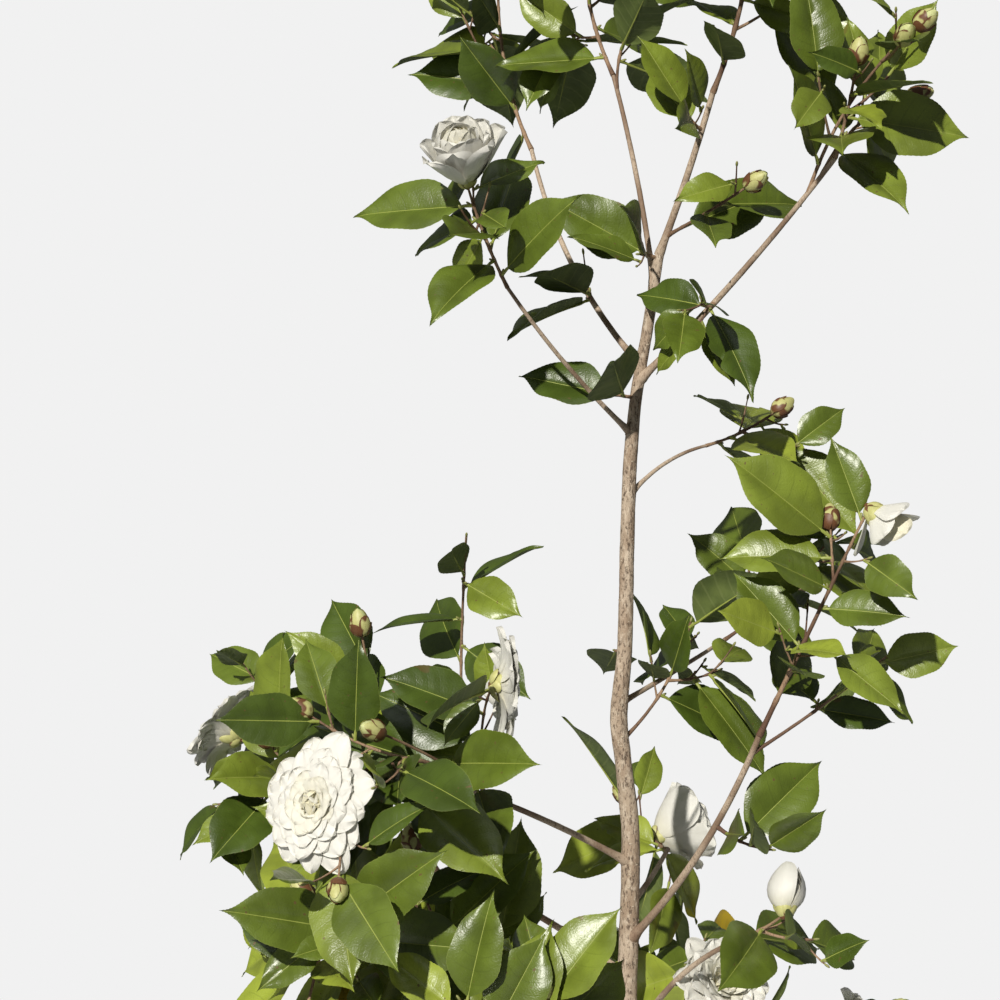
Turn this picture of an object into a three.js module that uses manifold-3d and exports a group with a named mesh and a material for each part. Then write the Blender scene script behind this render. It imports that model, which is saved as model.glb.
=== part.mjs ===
// A young camellia shrub as an assembly: a leaning trunk, its main boughs, and masses of
// leafy twigs with white double blooms. Millimetres, +Z up. The origin is the middle of the
// flat cut under the trunk, at ground level. The shrub is looked at along +Y.

import * as THREE from 'three'
import { mergeVertices } from 'three/addons/utils/BufferGeometryUtils.js'
import Module from 'manifold-3d'

const wasm = await Module()
wasm.setup()

// ---------------------------------------------------------------- driving sizes

const JOINT_GAP = 0.3 // between a limb or stem and what carries it
const LEAF_LENGTH = 94 // a middling leaf with its stalk
const STALK_SHARE = 0.09 // of the leaf's length
const LEAF_THICKNESS = 1.5
const ROOT_SUNK = 0.3 // how far a leaf's root goes past the middle of its shoot
const TWIG_RADIUS = 1.3
const TWIG_TIP_RADIUS = 0.8
const TWIG_BARE = 0.25 // share of a twig below its first leaf
const STEM_TIP_RADIUS = 1
const BUD_SIZE = 12
const BLOOM_HEART = 9
const BLOOM_RISE = { shut: 78, span: 70 } // degrees that petals rise, and lose when wide open
const PETALS = 7 // lobes round a bloom

// The growing rule: how twigs leave a stem. Pairs are the least and most of a roll.
const TWIG_STOPS = { first: 0.12, span: 0.8, sway: 0.05 } // shares of the stem
const SPIRAL = 137.5 // degrees from twig to twig
const TWIG_SWAY = [-30, 30]
const TWIG_OFF = [38, 62] // degrees away from the stem
const TWIG_LIFT = 0.15
const TWIG_SAG = 0.06
const TWIG_SIZES = [0.7, 1.15] // shares of the mass's twig length
const BUD_EVERY = 3 // one twig in so many ends in a bud

// How leaves stand on a shoot.
const LEAF_TURN = 144 // degrees from leaf to leaf
const LEAF_SWAY = [-25, 25]
const LEAF_OFF = [48, 80] // degrees away from the shoot
const END_LEAF_OFF = [25, 50]
const SHOOT_END = 0.85 // share of the shoot past which end leaves stand
const LEAF_HANG = [-0.15, 0.55]
const LEAF_SIZES = [0.74, 1.2] // shares of the leaf length
const LEAF_WIDTHS = [0.41, 0.53] // shares of the leaf's own length
const LEAF_DROOPS = [-0.02, 0.13]
const LEAF_FOLDS = [0.12, 0.3]
const TO_LIGHT = { up: 0.5, out: 0.35, front: 0.6, sway: 0.42 } // where faces turn

// Room that they keep from each other.
const TRIALS = 5 // turns that a leaf or twig tries before it is skipped
const TWIG_TRY = 60 // degrees from trial to trial
const LEAF_TRY = 50
const LEAF_ROOM = 4.5 // clear room round a leaf
const OWN_ROOM_SHARE = 0.7 // leaves of one mass may come this much closer to each other
const TWIG_ROOM = 3
const STEM_CLEAR = 3 // from its carrier's bark to a stem's first leaf
const BARK_MARGIN = 1
const LIMB_STEP = 5 // from ball to ball along wood
const TWIG_STEP = 6
const NEAR = 60 // balls farther away than this can't be touched
const LOWEST_LEAF = 15

const TRUNK_FACETS = { sides: 9, rings: 12 }
const TRUNK_RING_EASE = 1.25 // rings lie closer together at the root flare
const LIMB_FACETS = { sides: 5, rings: 4 }
const STEM_FACETS = { sides: 3, rings: 4 }
const TWIG_FACETS = { sides: 3, rings: 2 }

// The trunk's middle line from the cut to the top fork: height, lean to +X, lean to +Y, radius.
const TRUNK_LINE = [
  [0, 0, 0, 15.5],
  [22, -0.5, 0.5, 11.8],
  [60, -1, 1, 10],
  [250, 0, 3, 8.6],
  [388, 3, 0, 7.8],
  [450, -3, -2, 7.3],
  [491, -7, -2, 7.3],
  [548, -2, 1, 6.5],
  [626, 0, 3, 6.2],
  [704, 2.5, 1, 6],
  [753, 6.5, 0, 5.4],
  [785, 11, 0, 5.1],
  [818, 17, 0, 4.8],
  [883, 27, 0, 4.3],
]

// Main boughs. Each springs from the trunk at a height, or from an earlier bough at a share of
// its length, reaches out by so much in the direction it is turned to (degrees from +X towards
// +Y), rises, bows up or down in between, and tapers from thick to thin.
const LIMBS = [
  {
    name: 'leader_left', on: 'trunk', at: 856, reach: 45, turn: 138, rise: 184,
    bow: 4, thick: 2.6, thin: 1.9,
  },
  {
    name: 'leader_right', on: 'trunk', at: 883, reach: 59, turn: 317, rise: 133,
    bow: -2, thick: 3.3, thin: 2.5,
  },
  {
    name: 'upper_left', on: 'trunk', at: 789, reach: 122, turn: 139, rise: 193,
    bow: -16, thick: 2.8, thin: 1.9,
  },
  {
    name: 'upper_right', on: 'trunk', at: 776, reach: 188, turn: 326, rise: 178,
    bow: -5, thick: 3.1, thin: 2,
  },
  {
    name: 'bloom_left', on: 'trunk', at: 731, reach: 133, turn: 217, rise: 119,
    bow: -5, thick: 2.2, thin: 1.6,
  },
  {
    name: 'right_mid', on: 'trunk', at: 678, reach: 84, turn: 35, rise: 44,
    bow: 7, thick: 1.9, thin: 1.4,
  },
  {
    name: 'right_tall', on: 'trunk', at: 300, reach: 152, turn: 312, rise: 183,
    bow: -12, thick: 3.4, thin: 2.5,
  },
  {
    name: 'left_front', on: 'trunk', at: 366, reach: 163, turn: 214, rise: 71,
    bow: 3, thick: 2.9, thin: 2.2,
  },
  {
    name: 'left_back', on: 'trunk', at: 268, reach: 200, turn: 163, rise: 92,
    bow: 13, thick: 3.2, thin: 2.4,
  },
  {
    name: 'left_low', on: 'trunk', at: 196, reach: 193, turn: 209, rise: 95,
    bow: 2, thick: 3, thin: 2.2,
  },
  {
    name: 'right_base', on: 'trunk', at: 206, reach: 133, turn: 309, rise: 108,
    bow: 13, thick: 3, thin: 2,
  },
  {
    name: 'back_low', on: 'trunk', at: 330, reach: 125, turn: 72, rise: 34,
    bow: -3, thick: 2.8, thin: 2,
  },
  {
    name: 'back_right', on: 'trunk', at: 502, reach: 204, turn: 60, rise: 46,
    bow: -1, thick: 2.4, thin: 1.7,
  },
  {
    name: 'low_front', on: 'trunk', at: 112, reach: 163, turn: 249, rise: 102,
    bow: -1, thick: 3, thin: 2,
  },
  {
    name: 'low_left', on: 'trunk', at: 128, reach: 178, turn: 161, rise: 43,
    bow: -2, thick: 3, thin: 2,
  },
  {
    name: 'low_right', on: 'trunk', at: 140, reach: 135, turn: 21, rise: 59,
    bow: -1, thick: 3, thin: 2,
  },
  {
    name: 'low_back', on: 'trunk', at: 100, reach: 178, turn: 72, rise: 54,
    bow: -5, thick: 3, thin: 2,
  },
]

// Foliage masses. Each is one stem with its twigs, leaves, buds and bloom.
const MASSES = [
  {
    name: 'leader_left_top', on: 'leader_left', at: 1, reach: 36, turn: 123, rise: 200,
    bow: -26, thick: 1.8, twigs: 5, twigLength: 85, leafGap: 27, bare: 0, seed: 308,
  },
  {
    name: 'leader_right_top', on: 'leader_right', at: 1, reach: 32, turn: 322, rise: 232,
    bow: -21, thick: 2.3, twigs: 5, twigLength: 95, leafGap: 31, bare: 0.02, seed: 280,
  },
  {
    name: 'upper_left_top', on: 'upper_left', at: 1, reach: 66, turn: 115, rise: 204,
    bow: -28, thick: 1.8, twigs: 3, twigLength: 85, leafGap: 30, bare: 0, seed: 150,
  },
  {
    name: 'upper_right_top', on: 'upper_right', at: 1, reach: 29, turn: 301, rise: 75,
    bow: -2, thick: 1.6, twigs: 1, twigLength: 55, leafGap: 24, bare: 0.05, seed: 660, bud: true,
  },
  {
    name: 'upper_right_side', on: 'upper_right', at: 0.93, reach: 72, turn: 3, rise: 64,
    bow: 11, thick: 1.5, twigs: 1, twigLength: 50, leafGap: 22, bare: 0.1, seed: 263, bud: true,
  },
  {
    name: 'upper_right_high', on: 'upper_right', at: 0.86, reach: 101, turn: 324, rise: 127,
    bow: 13, thick: 1.6, twigs: 2, twigLength: 60, leafGap: 26, bare: 0.05, seed: 19, bud: true,
  },
  {
    name: 'bloom_left_tip', on: 'bloom_left', at: 1, reach: 48, turn: 227, rise: 81,
    bow: -3, thick: 1.5, twigs: 1, twigLength: 45, leafGap: 14, bare: 0, seed: 751,
    bloom: { turn: 255, tilt: 62, open: 0.5, width: 84 },
  },
  {
    name: 'right_mid_tip', on: 'right_mid', at: 1, reach: 70, turn: 26, rise: 30,
    bow: -3, thick: 1.3, twigs: 1, twigLength: 40, leafGap: 17, bare: 0, seed: 413, bud: true,
  },
  {
    name: 'right_twig', on: 'trunk', at: 470, reach: 72, turn: 31, rise: 100,
    bow: -10, thick: 1.5, twigs: 1, twigLength: 40, leafGap: 26, bare: 0.35, seed: 349,
  },
  {
    name: 'right_tall_top', on: 'right_tall', at: 1, reach: 93, turn: 335, rise: 186,
    bow: 0, thick: 2.3, twigs: 2, twigLength: 60, leafGap: 31, bare: 0.05, seed: 365,
    bloom: { turn: 345, tilt: -25, open: 0.3, width: 70 },
  },
  {
    name: 'right_tall_side', on: 'right_tall', at: 0.93, reach: 117, turn: 12, rise: 79,
    bow: -2, thick: 1.5, twigs: 0, twigLength: 40, leafGap: 34, bare: 0.5, seed: 178,
  },
  {
    name: 'right_tall_foot', on: 'right_tall', at: 0.62, reach: 50, turn: 329, rise: -17,
    bow: -4, thick: 1.4, twigs: 0, twigLength: 40, leafGap: 16, bare: 0.1, seed: 374,
  },
  {
    name: 'left_front_crown', on: 'left_front', at: 1, reach: 151, turn: 221, rise: -3,
    bow: 31, thick: 2.1, twigs: 5, twigLength: 90, leafGap: 22, bare: 0, seed: 219,
    bloom: { turn: 234, tilt: 12, open: 1, width: 110 },
  },
  {
    name: 'left_front_twig', on: 'left_front', at: 0.93, reach: 37, turn: 284, rise: 93,
    bow: 22, thick: 1.3, twigs: 0, twigLength: 40, leafGap: 32, bare: 0.25, seed: 102,
    bloom: { turn: 349, tilt: -2, open: 1, width: 92 },
  },
  {
    name: 'left_bud_low', on: 'left_front', at: 0.84, reach: 129, turn: 224, rise: 62,
    bow: 4, thick: 1.4, twigs: 0, twigLength: 40, leafGap: 24, bare: 0.1, seed: 56, bud: true,
  },
  {
    name: 'left_back_crown', on: 'left_back', at: 1, reach: 175, turn: 150, rise: 101,
    bow: 1, thick: 2.2, twigs: 4, twigLength: 85, leafGap: 18, bare: 0.1, seed: 216,
    bloom: { turn: 150, tilt: 30, open: 0.9, width: 90 },
  },
  {
    name: 'left_bud_high', on: 'left_back', at: 0.86, reach: 104, turn: 233, rise: 210,
    bow: -12, thick: 1.6, twigs: 1, twigLength: 50, leafGap: 24, bare: 0.1, seed: 317, bud: true,
  },
  {
    name: 'left_shoot', on: 'left_back', at: 0.75, reach: 36, turn: 274, rise: 298,
    bow: 66, thick: 1.7, twigs: 0, twigLength: 40, leafGap: 26, bare: 0.3, seed: 776,
  },
  {
    name: 'left_low_crown', on: 'left_low', at: 1, reach: 126, turn: 219, rise: 15,
    bow: 13, thick: 2, twigs: 4, twigLength: 80, leafGap: 18, bare: 0.05, seed: 175,
  },
  {
    name: 'right_base_tip', on: 'right_base', at: 1, reach: 48, turn: 322, rise: 26,
    bow: -2, thick: 1.8, twigs: 1, twigLength: 50, leafGap: 23, bare: 0, seed: 149,
    bloom: { turn: 70, tilt: 62, open: 0.2, width: 78 },
  },
  {
    name: 'right_base_foot', on: 'right_base', at: 0.5, reach: 48, turn: 43, rise: -10,
    bow: 10, thick: 1.5, twigs: 1, twigLength: 50, leafGap: 18, bare: 0.1, seed: 724,
    bloom: { turn: 300, tilt: 30, open: 0.8, width: 84 },
  },
  {
    name: 'back_low_crown', on: 'back_low', at: 1, reach: 85, turn: 96, rise: 1,
    bow: -2, thick: 1.9, twigs: 2, twigLength: 75, leafGap: 22, bare: 0.05, seed: 99,
    bloom: { turn: 22, tilt: 18, open: 0.6, width: 88 },
  },
  {
    name: 'back_right_crown', on: 'back_right', at: 1, reach: 74, turn: 28, rise: 72,
    bow: -8, thick: 1.6, twigs: 3, twigLength: 80, leafGap: 29, bare: 0.05, seed: 190,
  },
  {
    name: 'low_front_crown', on: 'low_front', at: 1, reach: 102, turn: 241, rise: 37,
    bow: 2, thick: 1.9, twigs: 4, twigLength: 75, leafGap: 26, bare: 0.1, seed: 362,
  },
  {
    name: 'low_left_crown', on: 'low_left', at: 1, reach: 122, turn: 145, rise: 31,
    bow: 3, thick: 1.9, twigs: 4, twigLength: 80, leafGap: 30, bare: 0.1, seed: 226,
    bloom: { turn: 165, tilt: 20, open: 0.9, width: 90 },
  },
  {
    name: 'low_right_crown', on: 'low_right', at: 1, reach: 90, turn: 33, rise: -1,
    bow: 8, thick: 1.9, twigs: 3, twigLength: 80, leafGap: 26, bare: 0.1, seed: 363,
    bloom: { turn: 20, tilt: 15, open: 0.9, width: 90 },
  },
  {
    name: 'low_back_crown', on: 'low_back', at: 1, reach: 102, turn: 76, rise: 33,
    bow: 7, thick: 1.9, twigs: 5, twigLength: 80, leafGap: 22, bare: 0.1, seed: 278,
    bloom: { turn: 90, tilt: 15, open: 0.9, width: 92 },
  },
  {
    name: 'trunk_spur', on: 'trunk', at: 545, reach: 22, turn: 109, rise: 1,
    bow: 0, thick: 1.1, twigs: 0, twigLength: 0, leafGap: 14, bare: 0, seed: 956,
  },
  {
    name: 'fork_spur', on: 'trunk', at: 880, reach: 20, turn: 217, rise: 3,
    bow: 1, thick: 1.1, twigs: 0, twigLength: 0, leafGap: 16, bare: 0, seed: 1652,
  },
  {
    name: 'neck_spur', on: 'trunk', at: 762, reach: 25, turn: 214, rise: 2,
    bow: 0, thick: 1.2, twigs: 0, twigLength: 0, leafGap: 16, bare: 0, seed: 577,
  },
  {
    name: 'right_spur', on: 'upper_right', at: 0.38, reach: 22, turn: 237, rise: 1,
    bow: -5, thick: 1.3, twigs: 0, twigLength: 0, leafGap: 9, bare: 0, seed: 466,
  },
  {
    name: 'left_spur', on: 'upper_left', at: 0.35, reach: 16, turn: 266, rise: 4,
    bow: -4, thick: 1.1, twigs: 0, twigLength: 0, leafGap: 13, bare: 0, seed: 666,
  },
  {
    name: 'bud_twig', on: 'leader_right', at: 0.12, reach: 85, turn: 320, rise: 37,
    bow: -1, thick: 1.5, twigs: 0, twigLength: 0, leafGap: 26, bare: 0.1, seed: 303, bud: true,
  },
  {
    name: 'leader_spur', on: 'leader_right', at: 0.78, reach: 23, turn: 231, rise: 16,
    bow: -4, thick: 1.3, twigs: 0, twigLength: 0, leafGap: 10, bare: 0, seed: 469,
  },
  {
    name: 'leader_left_spur', on: 'leader_left', at: 0.93, reach: 22, turn: 308, rise: 57,
    bow: 7, thick: 1.3, twigs: 0, twigLength: 0, leafGap: 14, bare: 0, seed: 111,
  },
  {
    name: 'left_low_side', on: 'left_low', at: 0.55, reach: 141, turn: 226, rise: 101,
    bow: 8, thick: 1.5, twigs: 2, twigLength: 60, leafGap: 16, bare: 0.25, seed: 125,
  },
]

const UP = new THREE.Vector3(0, 0, 1)
const FRONT = new THREE.Vector3(0, -1, 0)
const radians = THREE.MathUtils.degToRad

// ---------------------------------------------------------------- small tools

// A seeded roll of numbers, so that the shrub grows the same way each time.
function dice(seed) {
  let state = (seed * 7919 + 12345) >>> 0
  const roll = (low, high) => {
    state = (Math.imul(state, 1664525) + 1013904223) >>> 0
    return low + (high - low) * (state / 4294967296)
  }
  roll(0, 1)
  roll(0, 1)
  return roll
}

const plus = (a, b, scale = 1) => a.clone().addScaledVector(b, scale)
const cross = (a, b) => new THREE.Vector3().crossVectors(a, b)
const middle = (a, b) => a.clone().add(b).multiplyScalar(0.5)

function heading(turn, tilt) {
  const a = radians(turn)
  const b = radians(tilt)
  return new THREE.Vector3(Math.cos(a) * Math.cos(b), Math.sin(a) * Math.cos(b), Math.sin(b))
}

// A direction square to an axis, turned round it.
function around(axis, turn) {
  const side = cross(axis, Math.abs(axis.dot(FRONT)) < 0.9 ? FRONT : UP).normalize()
  const other = cross(side, axis)
  const a = radians(turn)
  return side.multiplyScalar(Math.cos(a)).addScaledVector(other, Math.sin(a))
}

// A limb, stem or twig: one bend from root to tip that tapers on its way. Its solid has a
// number of sides, and straight stretches from ring to ring.
class Shoot {
  constructor(root, tip, mid, rootRadius, tipRadius, { sides, rings }) {
    this.root = root
    this.tip = tip
    this.bend = plus(mid.clone().multiplyScalar(2), plus(root, tip), -0.5)
    Object.assign(this, { rootRadius, tipRadius, sides, rings, foot: root })
  }

  at(t) {
    return this.root.clone().multiplyScalar((1 - t) ** 2)
      .addScaledVector(this.bend, 2 * t * (1 - t))
      .addScaledVector(this.tip, t * t)
  }

  along(t) {
    return plus(this.bend, this.root, -1).multiplyScalar(1 - t)
      .addScaledVector(plus(this.tip, this.bend, -1), t)
      .normalize()
  }

  radius(t) {
    return this.rootRadius + (this.tipRadius - this.rootRadius) * t
  }

  length() {
    return this.root.distanceTo(this.tip)
  }

  // The middle of the solid's own straight stretch, where leaves and twigs are rooted.
  seat(t) {
    const step = Math.min(this.rings - 1, Math.floor(t * this.rings))
    return this.at(step / this.rings).lerp(this.at((step + 1) / this.rings), t * this.rings - step)
  }
}

// A shoot told by how far it reaches, which way it is turned, how much it rises and how it bows.
function spring(root, { reach, turn, rise, bow }, rootRadius, tipRadius, facets) {
  const out = heading(turn, 0)
  const tip = plus(plus(root, out, reach), UP, rise)
  const over = out.clone().multiplyScalar(-rise).addScaledVector(UP, reach)
    .divideScalar(Math.hypot(reach, rise))
  return new Shoot(root, tip, plus(middle(root, tip), over, bow), rootRadius, tipRadius, facets)
}

// The trunk's middle point and radius at a height, eased from station to station.
function trunkAt(height) {
  const last = TRUNK_LINE.length - 1
  let i = 0
  while (i < last - 1 && height > TRUNK_LINE[i + 1][0]) i += 1
  const slope = (row, column) => {
    const before = TRUNK_LINE[Math.max(0, row - 1)]
    const after = TRUNK_LINE[Math.min(last, row + 1)]
    return (after[column] - before[column]) / (after[0] - before[0])
  }
  const span = TRUNK_LINE[i + 1][0] - TRUNK_LINE[i][0]
  const t = (height - TRUNK_LINE[i][0]) / span
  const eased = (column) => (2 * t ** 3 - 3 * t ** 2 + 1) * TRUNK_LINE[i][column]
    + (t ** 3 - 2 * t ** 2 + t) * span * slope(i, column)
    + (-2 * t ** 3 + 3 * t ** 2) * TRUNK_LINE[i + 1][column]
    + (t ** 3 - t ** 2) * span * slope(i + 1, column)
  return { point: new THREE.Vector3(eased(1), eased(2), height), radius: eased(3) }
}

// ---------------------------------------------------------------- the growing rule

// Balls that stand for all that has grown so far. Wood of one's own is passed over, and
// leaves of one's own mass may come closer than those of another.
class Space {
  constructor() {
    this.balls = []
  }

  add(points, radii, owner, kind) {
    points.forEach((point, i) => {
      this.balls.push({ point, radius: radii[i] ?? radii[0], owner, kind })
    })
  }

  hits(points, radius, owner, ownShare) {
    const box = new THREE.Box3().setFromPoints(points).expandByScalar(NEAR)
    const near = this.balls.filter((ball) => box.containsPoint(ball.point)
      && !(ball.owner === owner && ball.kind === 'wood'))
    return near.some((ball) => {
      const share = ball.owner === owner && ball.kind !== 'bloom' ? ownShare : 1
      const reach = (share * (ball.radius + radius)) ** 2
      return points.some((point) => point.distanceToSquared(ball.point) < reach)
    })
  }
}

function woodBalls(shoot, step, start) {
  const count = Math.max(2, Math.floor(shoot.length() / step))
  const stops = Array.from({ length: count + 1 }, (_, i) => start + (1 - start) * i / count)
  return [stops.map((t) => shoot.at(t)), stops.map((t) => shoot.radius(t) + BARK_MARGIN)]
}

// Half the width of a blade at a share u of its length: pointed oval, widest below its middle.
function halfWidth(u, width) {
  if (u <= 0 || u >= 1) return 0
  return width / 2 * Math.sin(Math.PI * u ** 0.85) ** (0.8 + 1.1 * u ** 3)
}

class Leaf {
  constructor(base, axis, face, length, width, droop, fold) {
    this.base = base
    this.axis = axis
    this.face = plus(face, axis, -face.dot(axis)).normalize()
    this.side = cross(axis, this.face)
    Object.assign(this, { length, width, droop, fold })
  }

  // A point of the blade: u runs from stalk to tip, v from -1 to 1 across.
  point(u, v) {
    const w = halfWidth(u, this.width) * v
    const lift = this.fold * Math.abs(w) - this.droop * this.length * u * u
    return plus(this.base, this.axis, this.length * (STALK_SHARE + (1 - STALK_SHARE) * u))
      .addScaledVector(this.side, w)
      .addScaledVector(this.face, lift)
  }

  balls() {
    const across = [-1, -0.5, 0, 0.5, 1]
    const rows = [0.1, 0.21, 0.32, 0.44, 0.56, 0.68, 0.8, 0.9]
    const ends = [-0.05, 0.02, 1].map((u) => this.point(u, 0))
    return ends.concat(rows.flatMap((u) => across.map((v) => this.point(u, v))))
  }
}

// Twigs leave the stem in a spiral. One that finds no room after some turns is skipped.
function growTwigs(mass, stem, space, owner, roll) {
  const twigs = []
  const first = roll(0, 360)
  for (let k = 0; k < mass.twigs; k += 1) {
    const { first: foot, span, sway } = TWIG_STOPS
    const at = foot + span * (k + 0.5) / mass.twigs + roll(-sway, sway)
    for (let trial = 0; trial < TRIALS; trial += 1) {
      const turn = first + SPIRAL * k + roll(...TWIG_SWAY) + trial * TWIG_TRY
      const off = radians(roll(...TWIG_OFF))
      const axis = stem.along(at).multiplyScalar(Math.cos(off))
        .addScaledVector(around(stem.along(at), turn), Math.sin(off))
        .addScaledVector(UP, TWIG_LIFT).normalize()
      const length = mass.twigLength * roll(...TWIG_SIZES)
      const root = stem.at(at)
      const end = plus(root, axis, length)
      const sag = plus(middle(root, end), UP, -TWIG_SAG * length)
      const twig = new Shoot(root, end, sag, TWIG_RADIUS, TWIG_TIP_RADIUS, TWIG_FACETS)
      const [points, radii] = woodBalls(twig, TWIG_STEP, TWIG_BARE)
      if (space.hits(points, TWIG_ROOM, owner, 0)) continue
      twig.foot = stem.seat(at)
      twigs.push(twig)
      space.add(points, radii, owner, 'wood')
      if (k % BUD_EVERY === 1) {
        twig.hasBud = true
        space.add([plus(twig.tip, twig.along(1), BUD_SIZE)], [BUD_SIZE], owner, 'wood')
      }
      break
    }
  }
  return twigs
}

// Leaves stand on a shoot in turn, each with its face to the light. One that would touch
// a limb or leave the room of its own mass tries other turns, and is then skipped.
function growLeaves(shoot, bare, gap, space, owner, roll) {
  const leaves = []
  const count = Math.max(1, Math.floor(shoot.length() * (1 - bare) / gap + 0.5) + 1)
  const first = roll(0, 360)
  for (let i = 0; i < count; i += 1) {
    const at = Math.min(1, bare + (1 - bare) * (i + 0.6) / count + roll(-0.03, 0.03))
    for (let trial = 0; trial < TRIALS; trial += 1) {
      const turn = first + LEAF_TURN * i + roll(...LEAF_SWAY) + trial * LEAF_TRY
      const off = radians(roll(...(at > SHOOT_END ? END_LEAF_OFF : LEAF_OFF)))
      const axis = shoot.along(at).multiplyScalar(Math.cos(off))
        .addScaledVector(around(shoot.along(at), turn), Math.sin(off))
        .addScaledVector(UP, -roll(...LEAF_HANG)).normalize()
      const length = LEAF_LENGTH * roll(...LEAF_SIZES)
      const base = shoot.at(at)
      const out = new THREE.Vector3(base.x, base.y, 0).normalize()
      const sway = new THREE.Vector3(roll(-1, 1), roll(-1, 1), roll(-1, 1))
      const face = UP.clone().multiplyScalar(TO_LIGHT.up).addScaledVector(out, TO_LIGHT.out)
        .addScaledVector(FRONT, TO_LIGHT.front).addScaledVector(sway, TO_LIGHT.sway)
      const leaf = new Leaf(base, axis, face, length, length * roll(...LEAF_WIDTHS),
        roll(...LEAF_DROOPS), roll(...LEAF_FOLDS))
      const balls = leaf.balls()
      if (balls.some((ball) => ball.z < LOWEST_LEAF)) continue
      if (space.hits(balls, LEAF_ROOM, owner, OWN_ROOM_SHARE)) continue
      leaf.foot = shoot.seat(at)
      space.add(balls, [LEAF_ROOM], owner, 'leaf')
      leaves.push(leaf)
      break
    }
  }
  return leaves
}

// A bloom's petals rise from its middle, flat when it is wide open and steep when it is shut.
function bloomOn(stem, { turn, tilt, open, width }) {
  const axis = heading(turn, tilt)
  const rise = radians(BLOOM_RISE.shut - BLOOM_RISE.span * open)
  const rim = width / 2 * Math.cos(rise)
  const lift = width / 2 * Math.sin(rise) + BLOOM_HEART
  return { root: stem.tip, axis, open, width, rim, lift }
}

function reserveBloom(space, bloom, owner) {
  const heart = plus(bloom.root, bloom.axis, bloom.width * 0.25)
  const ring = Array.from({ length: 8 }, (_, j) => plus(heart, around(bloom.axis, 45 * j),
    bloom.width * 0.33 * (0.4 + 0.6 * bloom.open)))
  space.add([heart], [bloom.width * 0.2], owner, 'bloom')
  space.add(ring, [bloom.width * 0.16], owner, 'bloom')
}

// ---------------------------------------------------------------- solids

// A closed geometry as a solid for joining and cutting, with its shared corners merged
// and the faces dropped that a pinched corner leaves empty.
function solid(geometry) {
  geometry.deleteAttribute('normal')
  geometry.deleteAttribute('uv')
  const merged = mergeVertices(geometry, 1e-4)
  const index = merged.index.array
  const kept = []
  for (let i = 0; i < index.length; i += 3) {
    const [a, b, c] = [index[i], index[i + 1], index[i + 2]]
    if (a !== b && b !== c && c !== a) kept.push(a, b, c)
  }
  return new wasm.Manifold(new wasm.Mesh({
    numProp: 3,
    vertProperties: new Float32Array(merged.attributes.position.array),
    triVerts: new Uint32Array(kept),
  }))
}

// Moves each vertex of a geometry to the place that a function gives it.
function reshape(geometry, place) {
  const position = geometry.attributes.position
  const vertex = new THREE.Vector3()
  for (let i = 0; i < position.count; i += 1) {
    position.setXYZ(i, ...place(vertex.fromBufferAttribute(position, i)).toArray())
  }
  return geometry
}

const tube = (sides, rings) => new THREE.CylinderGeometry(1, 1, 1, sides, rings)

function trunkSolid(extra) {
  const top = TRUNK_LINE.at(-1)[0]
  return solid(reshape(tube(TRUNK_FACETS.sides, TRUNK_FACETS.rings), ({ x, y, z }) => {
    const share = y + 0.5
    const height = top * share ** TRUNK_RING_EASE
    const { point, radius } = trunkAt(height)
    point.z += extra * (share > 0.999 ? 1 : 0)
    return point.set(point.x + z * (radius + extra), point.y + x * (radius + extra), point.z)
  }))
}

function shootSolid(shoot, extra = 0) {
  const flat = cross(plus(shoot.bend, shoot.root, -1), plus(shoot.tip, shoot.root, -1))
  const side = flat.length() > 1 ? flat.normalize() : around(shoot.along(0.5), 0)
  return solid(reshape(tube(shoot.sides, shoot.rings), ({ x, y, z }) => {
    const t = y + 0.5
    const other = cross(side, shoot.along(t)).normalize()
    const radius = shoot.radius(t) + extra
    const heart = t > 0 ? shoot.at(t) : shoot.foot.clone()
    return heart.addScaledVector(shoot.along(t), t > 0.999 ? extra : 0)
      .addScaledVector(side, x * radius)
      .addScaledVector(other, z * radius)
  }))
}

// A leaf is a blade with six corners, thickest in its middle and thin at its margin, whose
// root is sunk past the middle of the shoot that it stands on.
function leafSolid(leaf) {
  const corners = [[-1, 0], [0.26, 1], [0.68, 1], [1, 0], [0.68, -1], [0.26, -1]]
  return solid(reshape(tube(corners.length, 1), ({ x, y, z }) => {
    if (Math.hypot(x, z) < 0.5) return plus(leaf.point(0.4, 0), leaf.face, y * LEAF_THICKNESS)
    const turn = (Math.round(Math.atan2(x, z) / (Math.PI / 3)) + corners.length) % corners.length
    const [u, v] = corners[turn]
    return turn === 0 ? plus(leaf.foot, leaf.axis, -ROOT_SUNK) : leaf.point(u, v)
  }))
}

// A bud is a pointed egg on the tip of its shoot.
function budSolid(shoot) {
  const axis = shoot.along(1)
  const side = around(axis, 0)
  const other = cross(side, axis)
  const heart = plus(shoot.tip, axis, BUD_SIZE - 2)
  return solid(reshape(new THREE.SphereGeometry(1, 6, 3), ({ x, y, z }) => (
    plus(heart, axis, y * BUD_SIZE * (y > 0 ? 1.1 : 0.9))
      .addScaledVector(side, x * BUD_SIZE * 0.8)
      .addScaledVector(other, z * BUD_SIZE * 0.8)
  )))
}

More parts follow.
